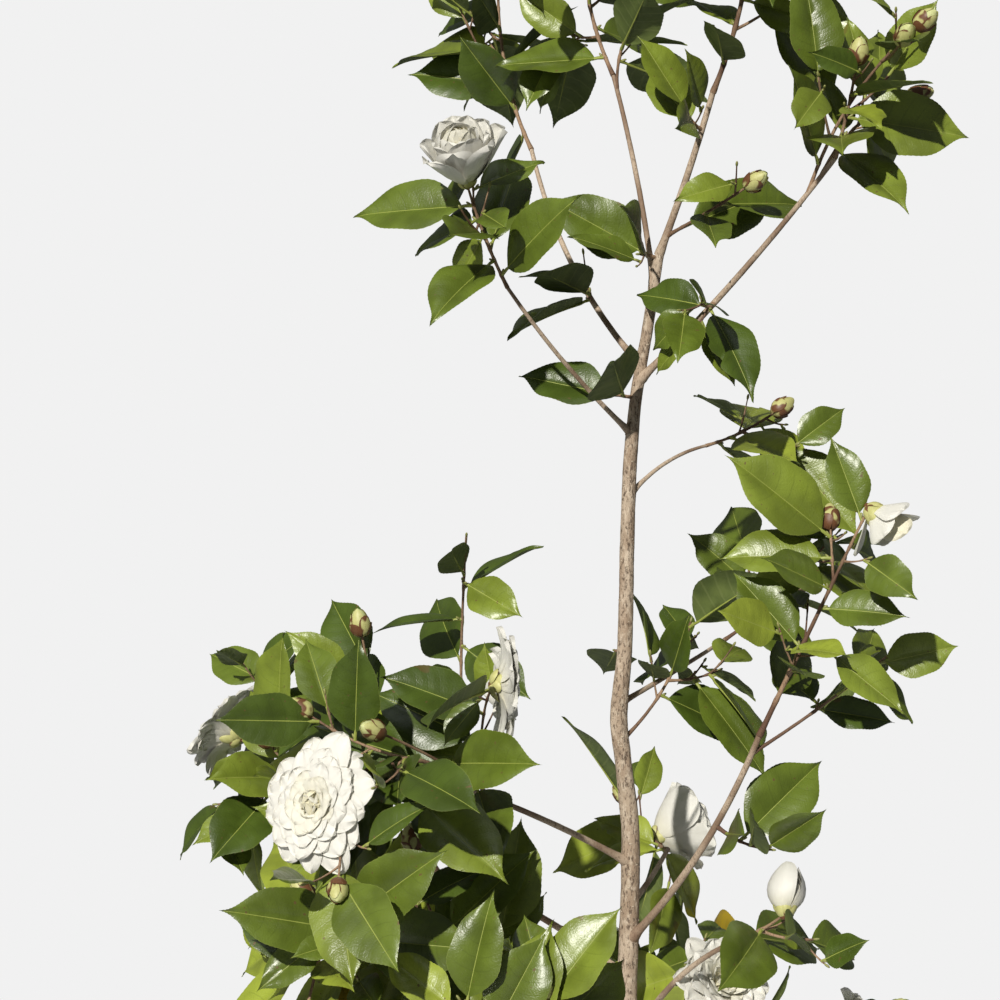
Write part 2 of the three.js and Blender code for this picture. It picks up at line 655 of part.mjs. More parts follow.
// A bloom is a lobed bowl of petals round a raised heart, turned about its axis.
function bloomSolid(bloom) {
  const { rim, lift } = bloom
  const heart = BLOOM_HEART * (0.4 + 0.6 * bloom.open)
  const profile = [
    [0, -4], [rim * 0.62, lift * 0.42 - 2], [rim, lift], [rim * 0.5, lift * 0.7 + heart],
    [0, lift * 0.6 + heart],
  ]
  const lathe = new THREE.LatheGeometry(profile.map((p) => new THREE.Vector2(...p)), 2 * PETALS)
  const side = around(bloom.axis, 0)
  const other = cross(side, bloom.axis)
  return solid(reshape(lathe, ({ x, y, z }) => {
    const step = Math.round(Math.atan2(x, z) / (Math.PI / PETALS))
    const notch = Math.hypot(x, z) > rim * 0.9 && step % 2 !== 0 ? 0.86 : 1
    return plus(bloom.root, bloom.axis, y)
      .addScaledVector(side, x * notch)
      .addScaledVector(other, z * notch)
  }))
}

// The biggest body of a solid: scraps and the walls of sealed hollows are dropped.
function onePiece(shape) {
  return shape.decompose().reduce((a, b) => (a.volume() > b.volume() ? a : b))
}

function mesh(name, shape, material) {
  const { vertProperties, triVerts } = shape.getMesh()
  const geometry = new THREE.BufferGeometry()
  geometry.setAttribute('position', new THREE.BufferAttribute(vertProperties, 3))
  geometry.setIndex(new THREE.BufferAttribute(triVerts, 1))
  const piece = new THREE.Mesh(geometry, material)
  piece.name = name
  return piece
}

// ---------------------------------------------------------------- the shrub

const shrub = new THREE.Group()
const barkOfTrunk = new THREE.MeshStandardMaterial({ color: '#a08a70', roughness: 0.85 })
const barkOfBoughs = new THREE.MeshStandardMaterial({ color: '#8f6f55', roughness: 0.8 })
const foliage = new THREE.MeshStandardMaterial({ color: '#4f7a28', roughness: 0.4 })

const space = new Space()
const trunkStops = Math.ceil(TRUNK_LINE.at(-1)[0] / TWIG_STEP)
const heights = Array.from({ length: trunkStops }, (_, i) => i * TWIG_STEP)
space.add(heights.map((height) => trunkAt(height).point),
  heights.map((height) => trunkAt(height).radius + BARK_MARGIN), 'trunk', 'wood')

// Where a limb or stem springs from, and how thick its carrier is there.
const shoots = {}
function carrierOf({ on, at }) {
  if (on === 'trunk') return trunkAt(at)
  return { point: shoots[on].at(at), radius: shoots[on].radius(at) }
}

// What a piece is cut back from, to leave the joint gap: the trunk and the limbs before it.
const jackets = [trunkSolid(JOINT_GAP)]
const cutBack = (shape) => onePiece(jackets.reduce((rest, jacket) => rest.subtract(jacket), shape))

shrub.add(mesh('trunk', trunkSolid(0), barkOfTrunk))
for (const limb of LIMBS) {
  const shoot = spring(carrierOf(limb).point, limb, limb.thick, limb.thin, LIMB_FACETS)
  shoots[limb.name] = shoot
  space.add(...woodBalls(shoot, LIMB_STEP, 0), 'limb', 'wood')
  shrub.add(mesh(limb.name, cutBack(shootSolid(shoot)), barkOfBoughs))
  jackets.push(shootSolid(shoot, JOINT_GAP))
}

for (const mass of MASSES) {
  const carrier = carrierOf(mass)
  mass.stem = spring(carrier.point, mass, mass.thick, STEM_TIP_RADIUS, STEM_FACETS)
  mass.clear = Math.max(mass.bare, (carrier.radius + STEM_CLEAR) / mass.stem.length())
  space.add(...woodBalls(mass.stem, LIMB_STEP, 0), mass.name, 'wood')
  if (mass.bloom) {
    mass.flower = bloomOn(mass.stem, mass.bloom)
    reserveBloom(space, mass.flower, mass.name)
  }
  if (mass.bud) {
    space.add([plus(mass.stem.tip, mass.stem.along(1), BUD_SIZE)], [BUD_SIZE], mass.name, 'bloom')
  }
}

for (const mass of MASSES) {
  const roll = dice(mass.seed)
  const twigs = growTwigs(mass, mass.stem, space, mass.name, roll)
  const parts = [shootSolid(mass.stem)]
  const leavesOf = (shoot, bare) => growLeaves(shoot, bare, mass.leafGap, space, mass.name, roll)
  parts.push(...leavesOf(mass.stem, mass.clear).map(leafSolid))
  for (const twig of twigs) {
    parts.push(shootSolid(twig))
    parts.push(...leavesOf(twig, TWIG_BARE).map(leafSolid))
    if (twig.hasBud) parts.push(budSolid(twig))
  }
  if (mass.flower) parts.push(bloomSolid(mass.flower))
  if (mass.bud) parts.push(budSolid(mass.stem))
  const grown = parts.reduce((whole, part) => whole.add(part))
  shrub.add(mesh(mass.name, cutBack(grown), foliage))
}

export default shrub
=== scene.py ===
"""A young camellia shrub, dressed: bark, twigs, leaves, buds and white double blooms.

The limbs and foliage grow by one seeded rule, in millimetres, in the frame's own axes: +Z up,
the origin in the middle of the flat cut under the trunk. Meshes are made in metres.
"""
import math

import bpy
import numpy as np
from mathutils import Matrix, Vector, noise


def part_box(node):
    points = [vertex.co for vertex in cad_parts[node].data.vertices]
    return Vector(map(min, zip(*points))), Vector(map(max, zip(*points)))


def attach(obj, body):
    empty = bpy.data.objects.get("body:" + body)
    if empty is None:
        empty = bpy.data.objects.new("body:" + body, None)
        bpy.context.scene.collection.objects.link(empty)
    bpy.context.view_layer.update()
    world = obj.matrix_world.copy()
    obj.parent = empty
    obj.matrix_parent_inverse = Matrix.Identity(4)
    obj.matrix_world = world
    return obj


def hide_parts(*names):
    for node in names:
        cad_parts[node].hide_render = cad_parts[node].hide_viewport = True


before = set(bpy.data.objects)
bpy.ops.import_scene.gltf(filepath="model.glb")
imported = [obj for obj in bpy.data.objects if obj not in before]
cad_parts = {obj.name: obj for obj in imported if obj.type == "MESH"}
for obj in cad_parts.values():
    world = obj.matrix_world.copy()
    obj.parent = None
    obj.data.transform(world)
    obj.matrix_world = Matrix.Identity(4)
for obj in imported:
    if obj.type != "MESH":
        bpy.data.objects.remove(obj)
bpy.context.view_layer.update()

# ---------------------------------------------------------------- driving sizes, mm and degrees

LEAF_LENGTH = 94  # a middling leaf with its stalk
STALK_SHARE = 0.09  # of the leaf's length
TWIG_RADIUS = 1.3
TWIG_TIP_RADIUS = 0.8
TWIG_BARE = 0.25  # share of a twig below its first leaf
STEM_TIP_RADIUS = 1
BUD_SIZE = 12
SHUT_RISE = 78  # degrees that a shut bloom's petals rise
OPEN_SPAN = 70  # degrees that they lose when wide open
FULL_FROM, FULL_AT = 0.6, 0.9  # how far a bloom is open as it turns from a cup to a full one
SHUT_AT, SHUT_TO = 0.2, 0.45  # and as it turns from a shut one to a cup

# The growing rule: how twigs leave a stem. Pairs are the least and most of a roll.
TWIG_FIRST, TWIG_SPAN = 0.12, 0.8  # shares of the stem
TWIG_STOP_SWAY = (-0.05, 0.05)
SPIRAL = 137.5  # degrees from twig to twig
TWIG_SWAY = (-30, 30)
TWIG_OFF = (38, 62)  # degrees away from the stem
TWIG_LIFT = 0.15
TWIG_SAG = 0.06
TWIG_SIZES = (0.7, 1.15)  # shares of the mass's twig length
BUD_EVERY = 3  # one twig in so many ends in a bud

# How leaves stand on a shoot.
LEAF_TURN = 144  # degrees from leaf to leaf
LEAF_SWAY = (-25, 25)
LEAF_STOP_SWAY = (-0.03, 0.03)
LEAF_PLACE = 0.6  # where a leaf stands in its own share of the shoot
LEAF_OFF = (48, 80)  # degrees away from the shoot
END_LEAF_OFF = (25, 50)
SHOOT_END = 0.85  # share of the shoot past which end leaves stand
LEAF_HANG = (-0.15, 0.55)
LEAF_SIZES = (0.74, 1.2)  # shares of the leaf length
LEAF_WIDTHS = (0.41, 0.53)  # shares of the leaf's own length
LEAF_DROOPS = (-0.02, 0.13)
LEAF_FOLDS = (0.12, 0.3)
TO_UP, TO_OUTSIDE, TO_FRONT, FACE_SWAY = 0.5, 0.35, 0.6, 0.42  # where faces turn

# Room that they keep from each other.
TRIALS = 5  # turns that a leaf or twig tries before it is skipped
TWIG_TRY = 60  # degrees from trial to trial
LEAF_TRY = 50
LEAF_ROOM = 4.5  # clear room round a leaf
OWN_ROOM_SHARE = 0.7  # leaves of one mass may come this much closer to each other
TWIG_ROOM = 3
STEM_CLEAR = 3  # from its carrier's bark to a stem's first leaf
BARK_MARGIN = 1
LIMB_STEP = 5  # from ball to ball along wood
TWIG_STEP = 6
NEAR = 60  # balls farther away than this can't be touched
LOWEST_LEAF = 15

# The room that a bloom keeps, one ball for its heart and a ring of them, as shares of its width.
HEART_RISE, HEART_ROOM = 0.25, 0.2
RING_SPREAD, RING_ROOM = 0.33, 0.16
RING_SHUT, RING_OPENS = 0.4, 0.6  # shares of the spread when shut, and gained when open
RING_TURNS = range(0, 360, 45)

# Finer leaves stay out of the way in front of a bloom: of a spot so far up its axis, within a
# share of its width.
SHOWN_UP, SHOWN_SHARE = 15, 0.45

# The balls that stand for a leaf: shares of its length and of its half width, and its ends.
BALL_ROWS = [0.1, 0.21, 0.32, 0.44, 0.56, 0.68, 0.8, 0.9]
BALL_COLUMNS = [-1, -0.5, 0, 0.5, 1]
BALL_ENDS = [-0.05, 0.02, 1]

# The oval of a leaf: how far its widest place lies back, how blunt its foot and how thin its tip.
OVAL_BACK, OVAL_FOOT, OVAL_TIP = 0.85, 0.8, 1.1

# Finer twigs than those of the solids.
FINE_TWIGS = 2  # tries on each stem and twig
FINE_SEED = 500
FINE_FIRST, FINE_LAST = 0.25, 1.0
FINE_LENGTHS = (20, 38)
FINE_RADIUS, FINE_TIP_RADIUS = 0.95, 0.6
FINE_ROOM = 2
FINE_GAP = 24
FINE_LEAF = 0.72  # of a full leaf's size
REACH_OVER = 6  # how far past its mass's box a small leaf may go

# The trunk's middle line from the cut to the top fork: height, lean to +X, lean to +Y, radius.
TRUNK_LINE = [
    (0, 0, 0, 15.5),
    (22, -0.5, 0.5, 11.8),
    (60, -1, 1, 10),
    (250, 0, 3, 8.6),
    (388, 3, 0, 7.8),
    (450, -3, -2, 7.3),
    (491, -7, -2, 7.3),
    (548, -2, 1, 6.5),
    (626, 0, 3, 6.2),
    (704, 2.5, 1, 6),
    (753, 6.5, 0, 5.4),
    (785, 11, 0, 5.1),
    (818, 17, 0, 4.8),
    (883, 27, 0, 4.3),
]


def named_rows(columns, rows):
    """The rows of a table, with a name for each column."""
    return [dict(zip(columns.split(), row)) for row in rows]


# Main boughs. Each springs from the trunk at a height, or from an earlier bough at a share of
# its length, reaches out by so much in the direction it is turned to (degrees from +X towards
# +Y), rises, bows up or down in between, and tapers from thick to thin.
LIMBS = named_rows("name on at reach turn rise bow thick thin", [
    ("leader_left", "trunk", 856, 45, 138, 184, 4, 2.6, 1.9),
    ("leader_right", "trunk", 883, 59, 317, 133, -2, 3.3, 2.5),
    ("upper_left", "trunk", 789, 122, 139, 193, -16, 2.8, 1.9),
    ("upper_right", "trunk", 776, 188, 326, 178, -5, 3.1, 2),
    ("bloom_left", "trunk", 731, 133, 217, 119, -5, 2.2, 1.6),
    ("right_mid", "trunk", 678, 84, 35, 44, 7, 1.9, 1.4),
    ("right_tall", "trunk", 300, 152, 312, 183, -12, 3.4, 2.5),
    ("left_front", "trunk", 366, 163, 214, 71, 3, 2.9, 2.2),
    ("left_back", "trunk", 268, 200, 163, 92, 13, 3.2, 2.4),
    ("left_low", "trunk", 196, 193, 209, 95, 2, 3, 2.2),
    ("right_base", "trunk", 206, 133, 309, 108, 13, 3, 2),
    ("back_low", "trunk", 330, 125, 72, 34, -3, 2.8, 2),
    ("back_right", "trunk", 502, 204, 60, 46, -1, 2.4, 1.7),
    ("low_front", "trunk", 112, 163, 249, 102, -1, 3, 2),
    ("low_left", "trunk", 128, 178, 161, 43, -2, 3, 2),
    ("low_right", "trunk", 140, 135, 21, 59, -1, 3, 2),
    ("low_back", "trunk", 100, 178, 72, 54, -5, 3, 2),
])

# Foliage masses. Each is one stem that springs as a bough does, with so many twigs of about a
# length and leaves at a gap, but bare up to a share of its length.
MASSES = named_rows("name on at reach turn rise bow thick twigs twig_length leaf_gap bare seed", [
    ("leader_left_top", "leader_left", 1, 36, 123, 200, -26, 1.8, 5, 85, 27, 0, 308),
    ("leader_right_top", "leader_right", 1, 32, 322, 232, -21, 2.3, 5, 95, 31, 0.02, 280),
    ("upper_left_top", "upper_left", 1, 66, 115, 204, -28, 1.8, 3, 85, 30, 0, 150),
    ("upper_right_top", "upper_right", 1, 29, 301, 75, -2, 1.6, 1, 55, 24, 0.05, 660),
    ("upper_right_side", "upper_right", 0.93, 72, 3, 64, 11, 1.5, 1, 50, 22, 0.1, 263),
    ("upper_right_high", "upper_right", 0.86, 101, 324, 127, 13, 1.6, 2, 60, 26, 0.05, 19),
    ("bloom_left_tip", "bloom_left", 1, 48, 227, 81, -3, 1.5, 1, 45, 14, 0, 751),
    ("right_mid_tip", "right_mid", 1, 70, 26, 30, -3, 1.3, 1, 40, 17, 0, 413),
    ("right_twig", "trunk", 470, 72, 31, 100, -10, 1.5, 1, 40, 26, 0.35, 349),
    ("right_tall_top", "right_tall", 1, 93, 335, 186, 0, 2.3, 2, 60, 31, 0.05, 365),
    ("right_tall_side", "right_tall", 0.93, 117, 12, 79, -2, 1.5, 0, 40, 34, 0.5, 178),
    ("right_tall_foot", "right_tall", 0.62, 50, 329, -17, -4, 1.4, 0, 40, 16, 0.1, 374),
    ("left_front_crown", "left_front", 1, 151, 221, -3, 31, 2.1, 5, 90, 22, 0, 219),
    ("left_front_twig", "left_front", 0.93, 37, 284, 93, 22, 1.3, 0, 40, 32, 0.25, 102),
    ("left_bud_low", "left_front", 0.84, 129, 224, 62, 4, 1.4, 0, 40, 24, 0.1, 56),
    ("left_back_crown", "left_back", 1, 175, 150, 101, 1, 2.2, 4, 85, 18, 0.1, 216),
    ("left_bud_high", "left_back", 0.86, 104, 233, 210, -12, 1.6, 1, 50, 24, 0.1, 317),
    ("left_shoot", "left_back", 0.75, 36, 274, 298, 66, 1.7, 0, 40, 26, 0.3, 776),
    ("left_low_crown", "left_low", 1, 126, 219, 15, 13, 2, 4, 80, 18, 0.05, 175),
    ("right_base_tip", "right_base", 1, 48, 322, 26, -2, 1.8, 1, 50, 23, 0, 149),
    ("right_base_foot", "right_base", 0.5, 48, 43, -10, 10, 1.5, 1, 50, 18, 0.1, 724),
    ("back_low_crown", "back_low", 1, 85, 96, 1, -2, 1.9, 2, 75, 22, 0.05, 99),
    ("back_right_crown", "back_right", 1, 74, 28, 72, -8, 1.6, 3, 80, 29, 0.05, 190),
    ("low_front_crown", "low_front", 1, 102, 241, 37, 2, 1.9, 4, 75, 26, 0.1, 362),
    ("low_left_crown", "low_left", 1, 122, 145, 31, 3, 1.9, 4, 80, 30, 0.1, 226),
    ("low_right_crown", "low_right", 1, 90, 33, -1, 8, 1.9, 3, 80, 26, 0.1, 363),
    ("low_back_crown", "low_back", 1, 102, 76, 33, 7, 1.9, 5, 80, 22, 0.1, 278),
    ("trunk_spur", "trunk", 545, 22, 109, 1, 0, 1.1, 0, 0, 14, 0, 956),
    ("fork_spur", "trunk", 880, 20, 217, 3, 1, 1.1, 0, 0, 16, 0, 1652),
    ("neck_spur", "trunk", 762, 25, 214, 2, 0, 1.2, 0, 0, 16, 0, 577),
    ("right_spur", "upper_right", 0.38, 22, 237, 1, -5, 1.3, 0, 0, 9, 0, 466),
    ("left_spur", "upper_left", 0.35, 16, 266, 4, -4, 1.1, 0, 0, 13, 0, 666),
    ("bud_twig", "leader_right", 0.12, 85, 320, 37, -1, 1.5, 0, 0, 26, 0.1, 303),
    ("leader_spur", "leader_right", 0.78, 23, 231, 16, -4, 1.3, 0, 0, 10, 0, 469),
    ("leader_left_spur", "leader_left", 0.93, 22, 308, 57, 7, 1.3, 0, 0, 14, 0, 111),
    ("left_low_side", "left_low", 0.55, 141, 226, 101, 8, 1.5, 2, 60, 16, 0.25, 125),
])

# Blooms, each at the tip of a mass's stem: which way it faces, how far it is open and its width.
# Some nod by a share, some turn away by degrees, and a narrow one has petals like spoons.
BLOOMS = {row["on"]: row for row in named_rows("on turn tilt open width nod away narrow", [
    ("bloom_left_tip", 255, 62, 0.5, 84, 0.28, 0, False),
    ("right_tall_top", 345, -25, 0.3, 70, 0.45, 0, True),
    ("left_front_crown", 234, 12, 1, 110, 0, 0, False),
    ("left_front_twig", 349, -2, 1, 92, 0, 24, False),
    ("left_back_crown", 150, 30, 0.9, 90, 0, 0, False),
    ("right_base_tip", 70, 62, 0.2, 78, 0, 0, False),
    ("right_base_foot", 300, 30, 0.8, 84, 0, 0, False),
    ("back_low_crown", 22, 18, 0.6, 88, 0, 0, False),
    ("low_left_crown", 165, 20, 0.9, 90, 0, 0, False),
    ("low_right_crown", 20, 15, 0.9, 90, 0, 0, False),
    ("low_back_crown", 90, 15, 0.9, 92, 0, 0, False),
])}

# Masses whose stem ends in a bud.
TIP_BUDS = ["upper_right_top", "upper_right_side", "upper_right_high", "right_mid_tip",
            "left_bud_low", "left_bud_high", "bud_twig"]

UP = np.array([0.0, 0.0, 1.0])
FRONT = np.array([0.0, -1.0, 0.0])
MM = 0.001


# ---------------------------------------------------------------- small tools

def dice(seed):
    """A seeded roll of numbers, so that the shrub grows the same way each time."""
    state = (seed * 7919 + 12345) & 0xFFFFFFFF

    def roll(low, high):
        nonlocal state
        state = (state * 1664525 + 1013904223) & 0xFFFFFFFF
        return low + (high - low) * (state / 4294967296)

    roll(0, 1)
    roll(0, 1)
    return roll


def unit(vector):
    return vector / math.sqrt(float(vector @ vector))


def smooth(value, low, high):
    """0 up to low, 1 from high and eased between."""
    share = min(1, max(0, (value - low) / (high - low)))
    return share * share * (3 - 2 * share)


def heading(turn, tilt):
    a, b = math.radians(turn), math.radians(tilt)
    return np.array([math.cos(a) * math.cos(b), math.sin(a) * math.cos(b), math.sin(b)])


def around(axis, turn):
    """A direction square to an axis, turned round it."""
    side = unit(np.cross(axis, FRONT if abs(float(axis @ FRONT)) < 0.9 else UP))
    other = np.cross(side, axis)
    a = math.radians(turn)
    return side * math.cos(a) + other * math.sin(a)


class Shoot:
    """A limb, stem or twig: one bend from root to tip that tapers on its way."""

    def __init__(self, root, tip, mid, root_radius, tip_radius):
        self.root, self.tip = root, tip
        self.bend = 2 * mid - (root + tip) / 2
        self.root_radius, self.tip_radius = root_radius, tip_radius
        self.knots = []
        self.carrier_radius = 0.0

    def at(self, t):
        return (1 - t) ** 2 * self.root + 2 * t * (1 - t) * self.bend + t * t * self.tip

    def along(self, t):
        return unit((self.bend - self.root) * (1 - t) + (self.tip - self.bend) * t)

    def radius(self, t):
        return self.root_radius + (self.tip_radius - self.root_radius) * t

    def length(self):
        return math.dist(self.root, self.tip)


def spring(root, plan, root_radius, tip_radius):
    """A shoot told by how far it reaches, which way it is turned, how much it rises and bows."""
    reach, rise = plan["reach"], plan["rise"]
    out = heading(plan["turn"], 0)
    tip = root + out * reach + UP * rise
    over = (out * -rise + UP * reach) / math.hypot(reach, rise)
    return Shoot(root, tip, (root + tip) / 2 + over * plan["bow"], root_radius, tip_radius)


def trunk_at(height):
    """The trunk's middle point and radius at a height, eased from station to station."""
    last = len(TRUNK_LINE) - 1
    i = 0
    while i < last - 1 and height > TRUNK_LINE[i + 1][0]:
        i += 1

    def slope(row, column):
        before, after = TRUNK_LINE[max(0, row - 1)], TRUNK_LINE[min(last, row + 1)]
        return (after[column] - before[column]) / (after[0] - before[0])

    span = TRUNK_LINE[i + 1][0] - TRUNK_LINE[i][0]
    t = (height - TRUNK_LINE[i][0]) / span

    def eased(column):
        return ((2 * t ** 3 - 3 * t ** 2 + 1) * TRUNK_LINE[i][column]
                + (t ** 3 - 2 * t ** 2 + t) * span * slope(i, column)
                + (-2 * t ** 3 + 3 * t ** 2) * TRUNK_LINE[i + 1][column]
                + (t ** 3 - t ** 2) * span * slope(i + 1, column))

    return np.array([eased(1), eased(2), height]), eased(3)


# ---------------------------------------------------------------- the growing rule

WOOD, LEAF, BLOOM = 0, 1, 2
TRUNK_OWNER, LIMB_OWNER = -1, -2


class Space:
    """Balls that stand for all that has grown so far.

    Wood of one's own is passed over, and leaves of one's own mass may come closer.
    """

    def __init__(self):
        self.points = np.zeros((0, 3))
        self.radii = np.zeros(0)
        self.owners = np.zeros(0, int)
        self.kinds = np.zeros(0, int)

    def add(self, points, radii, owner, kind):
        points = np.asarray(points, float).reshape(-1, 3)
        radii = np.broadcast_to(np.asarray(radii, float), len(points))
        self.points = np.vstack([self.points, points])
        self.radii = np.concatenate([self.radii, radii])
        self.owners = np.concatenate([self.owners, np.full(len(points), owner)])
        self.kinds = np.concatenate([self.kinds, np.full(len(points), kind)])

    def hits(self, points, radius, owner, own_share):
        low, high = points.min(0) - NEAR, points.max(0) + NEAR
        near = np.all((self.points >= low) & (self.points <= high), axis=1)
        near &= ~((self.owners == owner) & (self.kinds == WOOD))
        own = (self.owners[near] == owner) & (self.kinds[near] != BLOOM)
        reach = np.where(own, own_share, 1.0) * (self.radii[near] + radius)
        gaps = points[:, None, :] - self.points[near][None, :, :]
        return bool(((gaps ** 2).sum(2) < reach ** 2).any())


def wood_balls(shoot, step, start):
    count = max(2, int(shoot.length() / step))
    stops = [start + (1 - start) * i / count for i in range(count + 1)]
    return np.array([shoot.at(t) for t in stops]), [shoot.radius(t) + BARK_MARGIN for t in stops]


def half_width(u, width):
    """Half a blade's width at a share u of its length: a pointed oval, widest below its middle."""
    inside = np.clip(u, 0, 1)
    wave = np.clip(np.sin(np.pi * inside ** OVAL_BACK), 0, 1)
    oval = width / 2 * wave ** (OVAL_FOOT + OVAL_TIP * inside ** 3)
    return np.where((u > 0) & (u < 1), oval, 0.0)


class Leaf:
    """A blade with its stalk: where it stands, which way it runs and faces, and its sizes."""

    def __init__(self, base, axis, face, length, width, droop, fold):
        self.base, self.axis = base, axis
        self.face = unit(face - axis * float(face @ axis))
        self.side = np.cross(axis, self.face)
        self.length, self.width, self.droop, self.fold = length, width, droop, fold

    def point(self, u, v):
        """Points of the blade: u runs from stalk to tip, v from -1 to 1 across."""
        u, v = np.asarray(u, float), np.asarray(v, float)
        w = half_width(u, self.width) * v
        lift = self.fold * np.abs(w) - self.droop * self.length * u * u
        x = self.length * (STALK_SHARE + (1 - STALK_SHARE) * u)
        return (self.base + x[..., None] * self.axis + w[..., None] * self.side
                + lift[..., None] * self.face)

    def balls(self):
        rows = np.repeat(BALL_ROWS, len(BALL_COLUMNS))
        across = np.tile(BALL_COLUMNS, len(BALL_ROWS))
        ends = self.point(BALL_ENDS, np.zeros(len(BALL_ENDS)))
        return np.vstack([ends, self.point(rows, across)])


def leaving(shoot, at, turn, off, lift):
    """The direction that leaves a shoot by so many degrees, turned round it and lifted."""
    way, off = shoot.along(at), math.radians(off)
    return unit(way * math.cos(off) + around(way, turn) * math.sin(off) + UP * lift)


def side_twig(shoot, at, axis, length, radius, tip_radius):
    """A twig that leaves a shoot and sags a little on its way."""
    root = shoot.at(at)
    tip = root + axis * length
    return Shoot(root, tip, (root + tip) / 2 - UP * TWIG_SAG * length, radius, tip_radius)


def grow_twigs(plan, stem, space, owner, roll):
    """Twigs leave the stem in a spiral. One that finds no room after some turns is skipped."""
    twigs = []
    first = roll(0, 360)
    for k in range(plan["twigs"]):
        at = TWIG_FIRST + TWIG_SPAN * (k + 0.5) / plan["twigs"] + roll(*TWIG_STOP_SWAY)
        for trial in range(TRIALS):
            turn = first + SPIRAL * k + roll(*TWIG_SWAY) + trial * TWIG_TRY
            axis = leaving(stem, at, turn, roll(*TWIG_OFF), TWIG_LIFT)
            length = plan["twig_length"] * roll(*TWIG_SIZES)
            twig = side_twig(stem, at, axis, length, TWIG_RADIUS, TWIG_TIP_RADIUS)
            points, radii = wood_balls(twig, TWIG_STEP, TWIG_BARE)
            if space.hits(points, TWIG_ROOM, owner, 0):
                continue
            stem.knots.append(at)
            twigs.append(twig)
            space.add(points, radii, owner, WOOD)
            twig.has_bud = k % BUD_EVERY == 1
            if twig.has_bud:
                space.add([twig.tip + twig.along(1) * BUD_SIZE], BUD_SIZE, owner, WOOD)
            break
    return twigs


def grow_leaves(shoot, bare, gap, space, owner, roll, size=1.0, reach=None, kept_free=()):
    """Leaves stand on a shoot in turn, each with its face to the light.

    One that would touch a limb, or a leaf of another mass, or pass the reach where one is
    given, or stand in front of a spot that is kept free, tries other turns and is then skipped.
    """
    leaves = []
    count = max(1, math.floor(shoot.length() * (1 - bare) / gap + 0.5) + 1)
    first = roll(0, 360)
    for i in range(count):
        at = min(1, bare + (1 - bare) * (i + LEAF_PLACE) / count + roll(*LEAF_STOP_SWAY))
        for trial in range(TRIALS):
            turn = first + LEAF_TURN * i + roll(*LEAF_SWAY) + trial * LEAF_TRY
            off = roll(*(END_LEAF_OFF if at > SHOOT_END else LEAF_OFF))
            axis = leaving(shoot, at, turn, off, -roll(*LEAF_HANG))
            length = LEAF_LENGTH * size * roll(*LEAF_SIZES)
            base = shoot.at(at)
            out = unit(base * (1, 1, 0))
            sway = np.array([roll(-1, 1), roll(-1, 1), roll(-1, 1)])
            face = UP * TO_UP + out * TO_OUTSIDE + FRONT * TO_FRONT + sway * FACE_SWAY
            leaf = Leaf(base, axis, face, length, length * roll(*LEAF_WIDTHS),
                        roll(*LEAF_DROOPS), roll(*LEAF_FOLDS))
            balls = leaf.balls()
            if (balls[:, 2].min() < LOWEST_LEAF
                    or space.hits(balls, LEAF_ROOM, owner, OWN_ROOM_SHARE)
                    or reach and not ((balls > reach[0]).all() and (balls < reach[1]).all())
                    or any(veils(balls, spot, girth) for spot, girth in kept_free)):
                continue
            space.add(balls, LEAF_ROOM, owner, LEAF)
            shoot.knots.append(at)
            leaves.append(leaf)
            break
    return leaves


def veils(points, spot, girth):
    """Whether any point stands in front of a spot, within its girth."""
    off = points - spot
    return bool(((off[:, 1] < 0) & (off[:, 0] ** 2 + off[:, 2] ** 2 < girth ** 2)).any())


def bloom_on(stem, plan):
    """A bloom's petals rise from its middle, flat when it is wide open and steep when shut."""
    opened = plan["open"]
    return dict(plan, root=stem.tip, axis=heading(plan["turn"], plan["tilt"]),
                rise=SHUT_RISE - OPEN_SPAN * opened, full=smooth(opened, FULL_FROM, FULL_AT),
                shut=1 - smooth(opened, SHUT_AT, SHUT_TO))


def reserve_bloom(space, bloom, owner):
    axis, width = bloom["axis"], bloom["width"]
    heart = bloom["root"] + axis * width * HEART_RISE
    spread = width * RING_SPREAD * (RING_SHUT + RING_OPENS * bloom["open"])
    ring = [heart + around(axis, turn) * spread for turn in RING_TURNS]
    space.add([heart], width * HEART_ROOM, owner, BLOOM)
    space.add(ring, width * RING_ROOM, owner, BLOOM)


